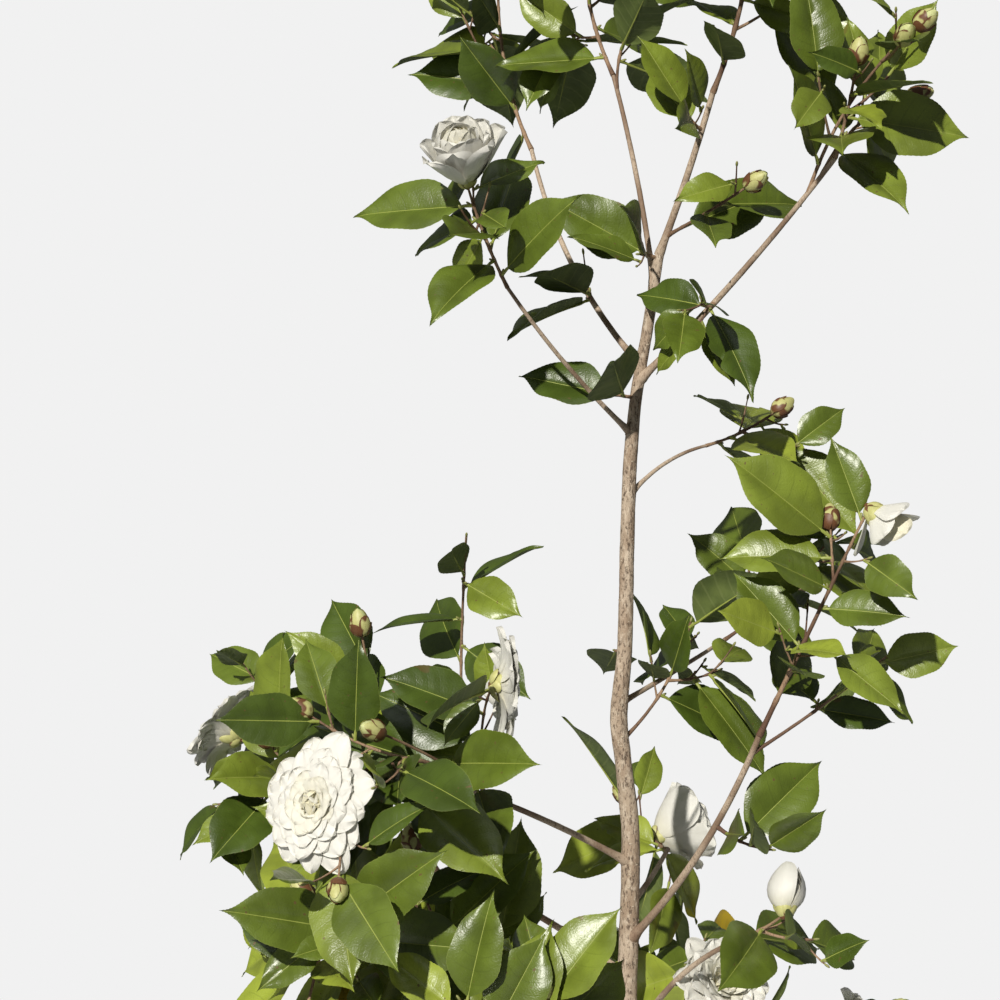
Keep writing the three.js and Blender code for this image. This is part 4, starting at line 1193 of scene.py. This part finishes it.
LEAF_ROWS = [i / 24 for i in range(1, 24)]
LEAF_COLUMNS = [-1, -0.8, -0.5, -0.2, 0, 0.2, 0.5, 0.8, 1]
LEAF_THICK = 0.5
LEAF_SEED = 77
QUILT = 0.34  # relief between the side veins
VEIN_ROWS = 3  # rows from side vein to side vein
VEIN_SWEEP = 0.14  # how far the side veins sweep forward
CUSHION = 1.3  # how far each half of a blade stands out between rib and margin
TOOTH = 0.32
FOLD_MORE = 0.13  # how much steeper a real blade is folded than its solid
MARGIN_FLAT = 0.35  # how much flatter it lies again at the margin
FULLNESS = 0.14  # how much rounder a blade is than its solid, between its middle and its ends
TIP_BEND, TIP_FROM = 0.4, 0.75  # how far the tip bends down, and from which share on
WAVES = 1.6  # along each margin
BITTEN, BITE_LENGTH = 0.14, 0.05  # the share of leaves that are bitten, and of a leaf's length

# The stalk and midrib: stops along the leaf, and its radius at some of them.
RIB_STOPS = np.array([-0.09, -0.06, -0.02, 0.03, 0.1, 0.2, 0.32, 0.46, 0.6, 0.74, 0.86, 0.96])
RIB_RADII = ([-0.09, 0.0, 0.3, 0.96], [1.7, 1.25, 0.72, 0.22])
RIB_SIDES = 6
RIB_PROUD = 0.32  # how far it stands out of the upper face

# Which colours the sprays take, by a roll: the first whose number the roll passes.
TONE_ODDS = [(0.97, "young"), (0.62, "fresh"), (0.24, "mid"), (-1, "deep")]
TURNING_BELOW = 0.14  # low sprays only
LOW_MASSES = ("low_", "left_low")
FINE_YOUNGER = 0.12  # added to the roll for fine twigs
KNOWN_TONES = {("right_mid_tip", 0): "young"}  # by mass and spray


def tip_bend(leaf, s):
    return TIP_BEND * leaf.length * np.clip(s - TIP_FROM, 0, 1) ** 2


def blade_points(leaf, pattern, look):
    """Places a leaf's points: folded along its rib, quilted, waved, toothed and bitten."""
    s, v, under, tooth = pattern
    u = s + VEIN_SWEEP * np.abs(v) ** 1.5 * np.sin(np.pi * s)
    near_bite = np.exp(-((s - look["bite_at"]) / BITE_LENGTH) ** 2)
    bitten = np.where(v * look["bite_side"] > 0, 1 - look["bite"] * near_bite, 1.0)
    points = leaf.point(u, v * bitten)
    w = half_width(u, leaf.width) * v * bitten
    fuller = FULLNESS * w * np.sin(2 * np.pi * np.clip(u, 0, 1)) ** 2
    mound = np.where(np.round(s * len(LEAF_ROWS) + s) % VEIN_ROWS == 0, -1.0, 0.6)
    quilt = QUILT * mound * np.abs(v) ** 0.5 * (1 - v ** 4)
    wave = look["wave"] * v ** 2 * np.sin(2 * np.pi * (WAVES * s + look["phase"]) + np.sign(v))
    arch = (FOLD_MORE + CUSHION * leaf.fold * (1 - np.abs(v))
            - MARGIN_FLAT * leaf.fold * v ** 2) * np.abs(w)
    lift = (quilt + wave + arch - tip_bend(leaf, s) + look["twist"] * w * s
            - under * LEAF_THICK * (1 - v ** 4))
    edge = tooth * np.sign(v) * TOOTH
    return points + lift[:, None] * leaf.face + (edge + fuller)[:, None] * leaf.side


def leaf_looks(roll):
    """The small ways in which one leaf differs from the next."""
    bites = roll(0, 1) < BITTEN
    return {"bite": roll(0.15, 0.4) if bites else 0.0, "bite_side": 1 if roll(0, 1) < 0.5 else -1,
            "bite_at": roll(0.25, 0.8), "wave": roll(0.4, 2.2), "phase": roll(0, 1),
            "twist": roll(-0.18, 0.18)}


def rib_tube(leaf):
    """The stalk and midrib: stout at its foot, sunk in the upper face, thinning to the tip."""
    points = leaf.point(RIB_STOPS, np.zeros(len(RIB_STOPS)))
    radii = np.interp(RIB_STOPS, *RIB_RADII) * (leaf.length / LEAF_LENGTH) ** 0.5
    sunk = np.where(RIB_STOPS > 0.01, radii - RIB_PROUD, 0.0)
    points = points - (tip_bend(leaf, RIB_STOPS) + sunk)[:, None] * leaf.face
    return tube(points, radii, RIB_SIDES, leaf.side)


def spray_tone(mass, spray, roll):
    """Deals a colour to a spray: low ones may be turning, fine ones are younger."""
    name = mass["plan"]["name"]
    if (name, spray) in KNOWN_TONES:
        return KNOWN_TONES[name, spray]
    chance = roll(0, 1) + (FINE_YOUNGER if spray > len(mass["twigs"]) else 0)
    if name.startswith(LOW_MASSES) and chance < TURNING_BELOW:
        return "turning"
    return next(tone for above, tone in TONE_ODDS if chance > above)


def leaf_pieces(masses):
    """Leaves in one piece for each colour, dealt out by spray, and their ribs in another."""
    pattern, faces, sides = sheet_pattern(LEAF_ROWS, LEAF_COLUMNS, toothed=True)
    s, v = pattern[:2]
    sprays = {name: Joined() for name in SPRAY_COLOURS}
    ribs = Joined()
    roll = dice(LEAF_SEED)
    number = 0
    for mass in masses:
        for spray, leaves in enumerate(mass["leaves"]):
            joined = sprays[spray_tone(mass, spray, roll)]
            for leaf in leaves:
                points = blade_points(leaf, pattern, leaf_looks(roll))
                joined.add(points, faces, sides, own_spots(s, v, number))
                ribs.add(*rib_tube(leaf))
                number += 1
    underside = underside_finish()
    for name, joined in sprays.items():
        if joined.count:
            upper = leaf_finish("leaf_" + name, SPRAY_COLOURS[name])
            joined.piece("leaves_" + name, "foliage", [upper, underside])
    rib = mottled_finish("leaf_rib", 0.45, (0.215, 0.260, 0.045), (0.340, 0.375, 0.085),
                         120.0, 0.0002, 0.3)
    ribs.piece("leaf_ribs", "foliage", [rib])


# ---------------------------------------------------------------- blooms and buds

PETAL_ROWS = [0.08, 0.2, 0.34, 0.48, 0.62, 0.74, 0.84, 0.92, 0.97]
PETAL_COLUMNS = [-1, -0.8, -0.55, -0.28, 0, 0.28, 0.55, 0.8, 1]
PETAL_THICK = 0.45
FLOWER_SEED = 41
GOLDEN = 137.508
PETALS_SHUT, PETALS_MORE = 8, 56  # petals of a shut bloom, and how many more a wide open one has
SPOONS = 7  # petals of a narrow bloom
CREAM_FROM, HEART_FROM = 0.6, 0.88  # shares from the outermost petal at which the colours change
BLOOM_NUMBERS = 100  # set aside for the petals of each bloom

# A cup's petals stand steeper and bend in over its heart.
CUP_LIFT = 16
CUP_STEEPEST = 84
CUP_CLOSING = 0.24
CUP_LENGTH, CUP_SHORTER, SHUT_SHORTER = 1.26, 0.08, 0.22  # of its reach, and what the inner lose

# A full bloom's petals lie on a dome, and those of its shut heart lean in.
DOME = 0.38  # height of the heart over the rim, as a share of the bloom's reach
CLOSED_FROM, CLOSED_AT = 0.74, 0.98  # shares from the outermost petal
CLOSED_LEAN, CLOSED_HIGHER = 13, 0.05
RING_LEAST, RING_CROWDING = 0.04, 0.85  # how far out the inmost tips lie, and how they crowd

# Petal sizes as the outermost's, and how much of it the innermost loses.
CUP_WIDTH = (0.9, 0.25)
FULL_WIDTH = (0.86, 0.4)
HEART_BELLY = (1.05, 0.9)
SHUT_WIDER = 0.15

# A petal's form: how it bends in along its length, how it is hollow across, how it bulges, how
# blunt its tip is, and its turned-back lip, ripple and frill.
FULL_CURL, SHUT_CURL = -0.05, 0.36
FULL_HOLLOW, CLOSED_HOLLOW, CUP_HOLLOW, INNER_HOLLOW, SHUT_HOLLOW = -0.02, 0.5, 0.25, 0.2, 0.25
CUP_BELLY, SHUT_BELLY, FULL_BELLY = 0.11, 0.07, -0.13
CUP_BLUNT, FULL_SHARPER, SHUT_SHARPER = 4.5, 1.7, 2.6
CUP_LIP, RIPPLE, FRILL = -0.2, 2.4, 1.5
RIPPLES, FRILLS = 6, 12  # radians of their waves from rib to margin

# The rolls by which one petal differs from the next.
PETAL_WIDTHS, PETAL_LENGTHS = (0.88, 1.12), (0.93, 1.06)
PETAL_RISES, PETAL_TURNS = (-2, 2), (-8, 8)
SPOON_LENGTHS, SPOON_CURLS = (0.9, 1.25), (-0.25, 0.05)
SPOON_RISES, SPOON_TURNS = (-6, 6), (-20, 20)
PHASES = (0, 6)

# The calyx: sepals in layers of three, and the green foot that they stand round.
SEPALS, LAYER = 8, 3
SEPAL_LONG, SEPAL_LONGER, SEPAL_LENGTHS = 12.5, 2, (0.8, 1.15)
SEPAL_WIDE, SEPAL_THICK = 14, 0.8
CALYX_SPOT = 6  # where it takes its colours from: the paler, later scales
CALYX_FLAT, FLAT_FROM = 12, 0.7  # how it rises under a bloom that is open past a share
FOOT_STEPS = np.linspace(-4, 7, 6)
FOOT_RADII = [1.6, 3.0, 4.2, 4.8, 4.6, 3.0]

# A bud's scales wrap its heart from its foot up, the later ones higher. Degrees of latitude.
SCALE_ROWS = [0.12, 0.28, 0.44, 0.6, 0.75, 0.87, 0.95]
SCALE_COLUMNS = [-1, -0.7, -0.35, 0, 0.35, 0.7, 1]
BUD_SCALES = 8
BUD_POINT = 0.24  # how much slimmer a bud is above its middle than below
BUD_TALL, BUD_WIDE, BUD_SUNK = (0.92, 1.06), (0.6, 0.68), 2
SCALE_FOOT, SCALE_TIP, SCALE_HIGHER, SCALE_WRAP = -88, -8, 84, 66
SCALE_OUTER, SCALE_FLARE, SCALE_THICK = 0.12, 0.03, 0.05  # shares of the bud's width
SCALE_LIP_FROM, SCALE_LIP = 0.8, 4  # how the outer scales' tips stand off
BUD_STOPS = np.linspace(-0.98, 1, 11)

PETAL_TINTS = [  # name, colour, tint at the foot (its own cream with painted warm shade), softness
    ("petal_white", (0.735, 0.722, 0.660), (0.76, 0.73, 0.57), 0.25),
    ("petal_cream", (0.745, 0.722, 0.605), (0.76, 0.71, 0.49), 0.3),
    ("petal_heart", (0.790, 0.748, 0.560), (0.78, 0.72, 0.48), 0.3),
]


def petal_points(pattern, root, out, axis, petal):
    """A petal that leaves its root outwards, rising and bending along its length."""
    s, v, under, _ = pattern
    rise, length, thick = petal["rise"], petal["length"], petal.get("thick", PETAL_THICK)
    along = out * math.cos(rise) + axis * math.sin(rise)
    lean = axis * math.cos(rise) - out * math.sin(rise)
    across = np.cross(axis, out)
    foot, waist = petal.get("foot", 0.5), petal.get("waist", 0.0)
    half = petal["width"] / 2 * 1.08 * s ** foot
    half = half * np.clip(1 - s ** petal.get("point", CUP_BLUNT), 0, 1) ** 0.6
    half = half * (1 - waist * np.sin(np.pi * np.clip(s * 1.35, 0, 1)))
    lift = (length * (petal["curl"] * s ** 2 - petal.get("belly", 0) * np.sin(np.pi * s)
                      + petal.get("lip", 0) * s ** 4)
            + petal["cup"] * half * v ** 2
            + petal.get("ripple", 0) * s ** 3 * np.sin(RIPPLES * v + petal.get("phase", 0))
            + petal.get("frill", 0) * s ** 8 * np.sin(FRILLS * v + 2 * petal.get("phase", 0))
            - under * thick * (1 - v ** 4) * np.minimum(1, 6 * (1 - s)))
    return (root + (length * s)[:, None] * along + (half * v)[:, None] * across
            + lift[:, None] * lean)


def faded(size, share):
    outermost, lost = size
    return outermost - lost * share


def petal_of(bloom, share, roll):
    """The sizes of a bloom's petal at a share from its outermost to its innermost.

    A full bloom's tips lie on a low dome, a cup's stand round its rim, a shut one's meet.
    """
    reach, full, shut = bloom["width"] / 2, bloom["full"], bloom["shut"]
    outer = math.radians(bloom["rise"] + CUP_LIFT * (1 - full) * (1 - shut))
    wild = roll(-1, 1)
    ring = RING_LEAST + (1 - RING_LEAST) * (1 - share) ** RING_CROWDING
    sunk = 2 + reach * 0.15 * share * full
    closed = smooth(share, CLOSED_FROM, CLOSED_AT) * full
    height = reach * (math.tan(outer) * ring + DOME * (1 - ring ** 2)
                      + CLOSED_HIGHER * closed) - sunk
    flat_rise = math.atan2(height, reach * ring * (1 - closed) * 0.9)
    flat_rise += math.radians(4 * wild * (1 - share) + CLOSED_LEAN * closed ** 2)
    cup_rise = outer + (math.radians(CUP_STEEPEST) - outer) * share
    flat_length = math.hypot(height, reach * ring * (1 - closed))
    cup_length = reach * (CUP_LENGTH - (CUP_SHORTER + SHUT_SHORTER * shut) * share)
    width = (cup_length * faded(CUP_WIDTH, share) * (1 - full)
             + reach * faded(FULL_WIDTH, share) * full) * roll(*PETAL_WIDTHS)
    return {
        "rise": cup_rise + (flat_rise - cup_rise) * full + math.radians(roll(*PETAL_RISES)),
        "length": ((cup_length + (flat_length - cup_length) * full) * roll(*PETAL_LENGTHS)
                   * (1 - SHUT_SHORTER * shut)),
        "width": width * (1 + SHUT_WIDER * shut),
        "curl": (FULL_CURL * full * (1 - closed) + shut * SHUT_CURL
                 + CUP_CLOSING * share * (1 - full) * (1 - shut)),
        "cup": (full * (FULL_HOLLOW + CLOSED_HOLLOW * closed)
                + (1 - full) * (CUP_HOLLOW + INNER_HOLLOW * share + SHUT_HOLLOW * shut)),
        "belly": (CUP_BELLY * (1 - full) + SHUT_BELLY * shut + FULL_BELLY * full * (1 - closed)
                  + faded(HEART_BELLY, share) * closed),
        "point": CUP_BLUNT - FULL_SHARPER * full - SHUT_SHARPER * shut,
        "lip": CUP_LIP * (1 - full) * (1 - shut) * (1 - share) ** 1.5,
        "ripple": RIPPLE * (1 - 0.7 * share) * (1 - 0.75 * shut), "phase": roll(*PHASES),
        "frill": FRILL * (1 - shut) * (1 - 0.7 * share),
        "sunk": sunk, "aside": 3.5 * (1 - share), "turn": roll(*PETAL_TURNS) * (1 - 0.5 * share),
    }


def spoon_of(bloom, share, roll):
    """A thin petal with a broad tip."""
    reach = bloom["width"] / 2
    return {
        "rise": math.radians(34 + 40 * share + roll(*SPOON_RISES)),
        "length": reach * roll(*SPOON_LENGTHS), "width": reach * 1.1,
        "curl": roll(*SPOON_CURLS), "cup": 0.12, "waist": 0.1, "foot": 0.7, "ripple": 1.4,
        "phase": roll(*PHASES), "sunk": 2, "aside": 2.5 * (1 - share),
        "turn": roll(*SPOON_TURNS),
    }


def bloom_shapes(bloom, petals, scales, roll, number):
    """Petals in a golden spiral from the open outer ones to the folded heart, and the calyx."""
    pattern, faces, _ = sheet_pattern(PETAL_ROWS, PETAL_COLUMNS)
    s, v = pattern[:2]
    count, size_of = SPOONS, spoon_of
    if not bloom["narrow"]:
        count, size_of = int(PETALS_SHUT + PETALS_MORE * bloom["open"] ** 1.5), petal_of
    axis = unit(bloom["axis"] - UP * bloom["nod"])
    aside = np.cross(UP, axis)
    turn = math.radians(bloom["away"])
    axis = unit(axis * math.cos(turn) + aside * math.sin(turn))
    for i in range(count):
        share = i / (count - 1)
        petal = size_of(bloom, share, roll)
        out = around(axis, GOLDEN * i + petal["turn"])
        root = bloom["root"] + axis * petal["sunk"] + out * petal["aside"]
        tint = int(share >= CREAM_FROM) + int(share >= HEART_FROM)
        petals.add(petal_points(pattern, root, out, axis, petal), faces, [tint] * len(faces),
                   own_spots(s, v, number + i))
    calyx_shapes(bloom, axis, pattern, faces, scales, roll)


def calyx_shapes(bloom, axis, pattern, faces, scales, roll):
    """Sepals in layers round the foot of a bloom. They close up with it."""
    s, v = pattern[:2]
    shut = bloom["shut"]
    steep = CALYX_FLAT if bloom["open"] > FLAT_FROM else bloom["rise"] - 8 - 18 * shut
    for i in range(SEPALS):
        layer = i // LAYER
        sepal = {"rise": math.radians(steep + 5 * layer), "width": SEPAL_WIDE,
                 "length": (SEPAL_LONG + SEPAL_LONGER * layer) * (1 + 0.35 * shut)
                 * roll(*SEPAL_LENGTHS), "thick": SEPAL_THICK,
                 "curl": 0.16 + 0.25 * shut, "cup": 0.35, "belly": 0.14, "foot": 0.35,
                 "point": 2.2}
        root = bloom["root"] + axis * (1.2 * layer - 2.5)
        scales.add(petal_points(pattern, root, around(axis, GOLDEN * i + 20), axis, sepal),
                   faces, None, own_spots(s, v, CALYX_SPOT + i))
    foot = bloom["root"] + FOOT_STEPS[:, None] * axis
    scales.add(*tube(foot, FOOT_RADII, 10, around(axis, 0)))


def bud_shapes(shoot, scales, hearts, roll):
    """A fat bud: a pale heart wrapped in overlapping scales."""
    (s, v, under, _), faces, _ = sheet_pattern(SCALE_ROWS, SCALE_COLUMNS)
    axis = shoot.along(1)
    tall, wide = BUD_SIZE * roll(*BUD_TALL), BUD_SIZE * roll(*BUD_WIDE)
    middle = shoot.tip + axis * (tall - BUD_SUNK)
    turns = roll(0, 360)
    for i in range(BUD_SCALES):
        layer = i / (BUD_SCALES - 1)
        out = around(axis, GOLDEN * i + turns)
        across = np.cross(axis, out)
        low, high = math.radians(SCALE_FOOT), math.radians(SCALE_TIP + SCALE_HIGHER * layer)
        latitude = low + (high - low) * s
        spread = math.radians(SCALE_WRAP) * s ** 0.45 * np.clip(1 - s ** 4, 0, 1) ** 0.5 * v
        thick = 1.0 + SCALE_OUTER * (1 - layer) + SCALE_FLARE * s - under * SCALE_THICK
        ring = np.cos(latitude) * wide * thick * (1 - BUD_POINT * np.sin(latitude))
        ring = ring + np.clip(s - SCALE_LIP_FROM, 0, 1) * SCALE_LIP * (1 - layer)
        points = (middle + (np.sin(latitude) * tall * thick)[:, None] * axis
                  + (ring * np.cos(spread))[:, None] * out
                  + (ring * np.sin(spread))[:, None] * across)
        scales.add(points, faces, None, own_spots(s, v, i))
    path = middle + (BUD_STOPS * tall * 0.98)[:, None] * axis
    girth = wide * 0.97 * np.sqrt(np.clip(1 - BUD_STOPS ** 2, 0.002, 1))
    hearts.add(*tube(path, girth * (1 - BUD_POINT * BUD_STOPS), 14, around(axis, 0)))


def flower_pieces(masses):
    petals, scales, hearts = Joined(), Joined(), Joined()
    roll = dice(FLOWER_SEED)
    number = 0
    for mass in masses:
        if mass["bloom"]:
            bloom_shapes(mass["bloom"], petals, scales, roll, number)
            number += BLOOM_NUMBERS
        for shoot in [mass["stem"]] + mass["twigs"]:
            if shoot.has_bud:
                bud_shapes(shoot, scales, hearts, roll)
    petals.piece("petals", "petals", [petal_finish(*tint) for tint in PETAL_TINTS])
    scales.piece("bud_scales", "buds", [scale_finish()])
    pale = petal_finish("bud_heart", (0.66, 0.66, 0.40), (0.50, 0.53, 0.22))
    hearts.piece("bud_hearts", "buds", [pale])


# ---------------------------------------------------------------- stage, light and camera

FRAME_WIDTH = 0.85  # of the view, in metres, at the trunk
CAMERA_AWAY = 2.6
CAMERA_X, CAMERA_Z = -0.108, 0.675
SENSOR = 36.0
STAGE_RADIUS, STAGE_SIDES, STAGE_DROP = 0.9, 96, 0.001
BACKGROUND = (0.880, 0.880, 0.880)
GLOW, GLOW_STRENGTH = (0.92, 0.96, 1.0), 0.10
MIDDLE = (-0.03, 0, 0.72)  # where the lights point
SUN_PLACE, SUN_STRENGTH, SUN_WIDTH = (-0.95, -2.8, 2.25), 4.15, 1.2  # its width in degrees
SUN_COLOUR = (1.0, 0.965, 0.90)
LAMPS = [  # name, place, watts, size, colour, whether gloss shows it
    ("sky", (-0.4, -1.6, 3.4), 9, 2.4, (0.92, 0.96, 1.0), True),
    ("fill", (-2.7, -0.9, 1.1), 13, 1.6, (1.0, 0.985, 0.95), False),
    ("back", (1.2, 2.6, 2.2), 34, 1.6, (1.0, 0.99, 0.96), False),
]


def camera():
    data = bpy.data.cameras.new("camera")
    data.sensor_width = SENSOR
    data.lens = SENSOR * CAMERA_AWAY / FRAME_WIDTH
    made = new_object("camera", data)
    made.location = (CAMERA_X, -CAMERA_AWAY, CAMERA_Z)
    made.rotation_euler = (math.radians(90), 0, 0)
    bpy.context.scene.camera = made


def light(name, kind, place, power, colour):
    data = bpy.data.lights.new(name, kind)
    data.energy, data.color = power, colour
    made = new_object(name, data)
    made.location = place
    made.rotation_euler = (Vector(MIDDLE) - Vector(place)).to_track_quat("-Z", "Y").to_euler()
    return made


def lights():
    light("sun", "SUN", SUN_PLACE, SUN_STRENGTH, SUN_COLOUR).data.angle = math.radians(SUN_WIDTH)
    for name, place, watts, size, colour, in_gloss in LAMPS:
        made = light(name, "AREA", place, watts, colour)
        made.data.shape, made.data.size = "DISK", size
        made.visible_glossy = in_gloss


def pale_room():
    """A pale background, with a dimmer glow of its own on the shrub."""
    world = bpy.data.worlds.new("pale_room")
    bpy.context.scene.world = world
    world.use_nodes = True
    nodes, links = world.node_tree.nodes, world.node_tree.links
    seen = nodes["Background"]
    seen.inputs["Color"].default_value = (*BACKGROUND, 1)
    glow = nodes.new("ShaderNodeBackground")
    glow.inputs["Color"].default_value = (*GLOW, 1)
    glow.inputs["Strength"].default_value = GLOW_STRENGTH
    path = nodes.new("ShaderNodeLightPath")
    mix = nodes.new("ShaderNodeMixShader")
    links.new(path.outputs["Is Camera Ray"], mix.inputs[0])
    links.new(glow.outputs[0], mix.inputs[1])
    links.new(seen.outputs[0], mix.inputs[2])
    links.new(mix.outputs[0], nodes["World Output"].inputs[0])


def stage():
    mesh = bpy.data.meshes.new("stage")
    ring = [(STAGE_RADIUS * math.cos(turn), STAGE_RADIUS * math.sin(turn), -STAGE_DROP)
            for turn in around_turns(STAGE_SIDES)]
    mesh.from_pydata(ring, [], [list(range(STAGE_SIDES))])
    mesh.materials.append(mottled_finish("stage_paint", 0.9, (0.66, 0.67, 0.69),
                                         (0.70, 0.71, 0.73), 20.0))
    made = new_object("stage", mesh)


# ---------------------------------------------------------------- the shrub

camera()
lights()
pale_room()
stage()
bpy.context.scene.view_settings.view_transform = "Standard"

limbs, masses, space = grow()
grow_fine_twigs(masses, space)
mass_names = [plan["name"] for plan in MASSES]

trunk = trunk_piece()
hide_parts("trunk")
lenticel_piece(trunk, mottled_finish("lenticels", 0.9, (0.360, 0.280, 0.190),
                                     (0.600, 0.520, 0.410), 900.0, 0.0003, 0.5))
boughs = bough_piece(limbs)
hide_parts(*limbs)
twigs = twig_piece(masses)
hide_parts(*mass_names)
axil_piece(masses, mottled_finish("axil_bud", 0.5, (0.170, 0.210, 0.055),
                                  (0.330, 0.300, 0.110), 600.0, 0.0002, 0.4))
leaf_pieces(masses)
flower_pieces(masses)
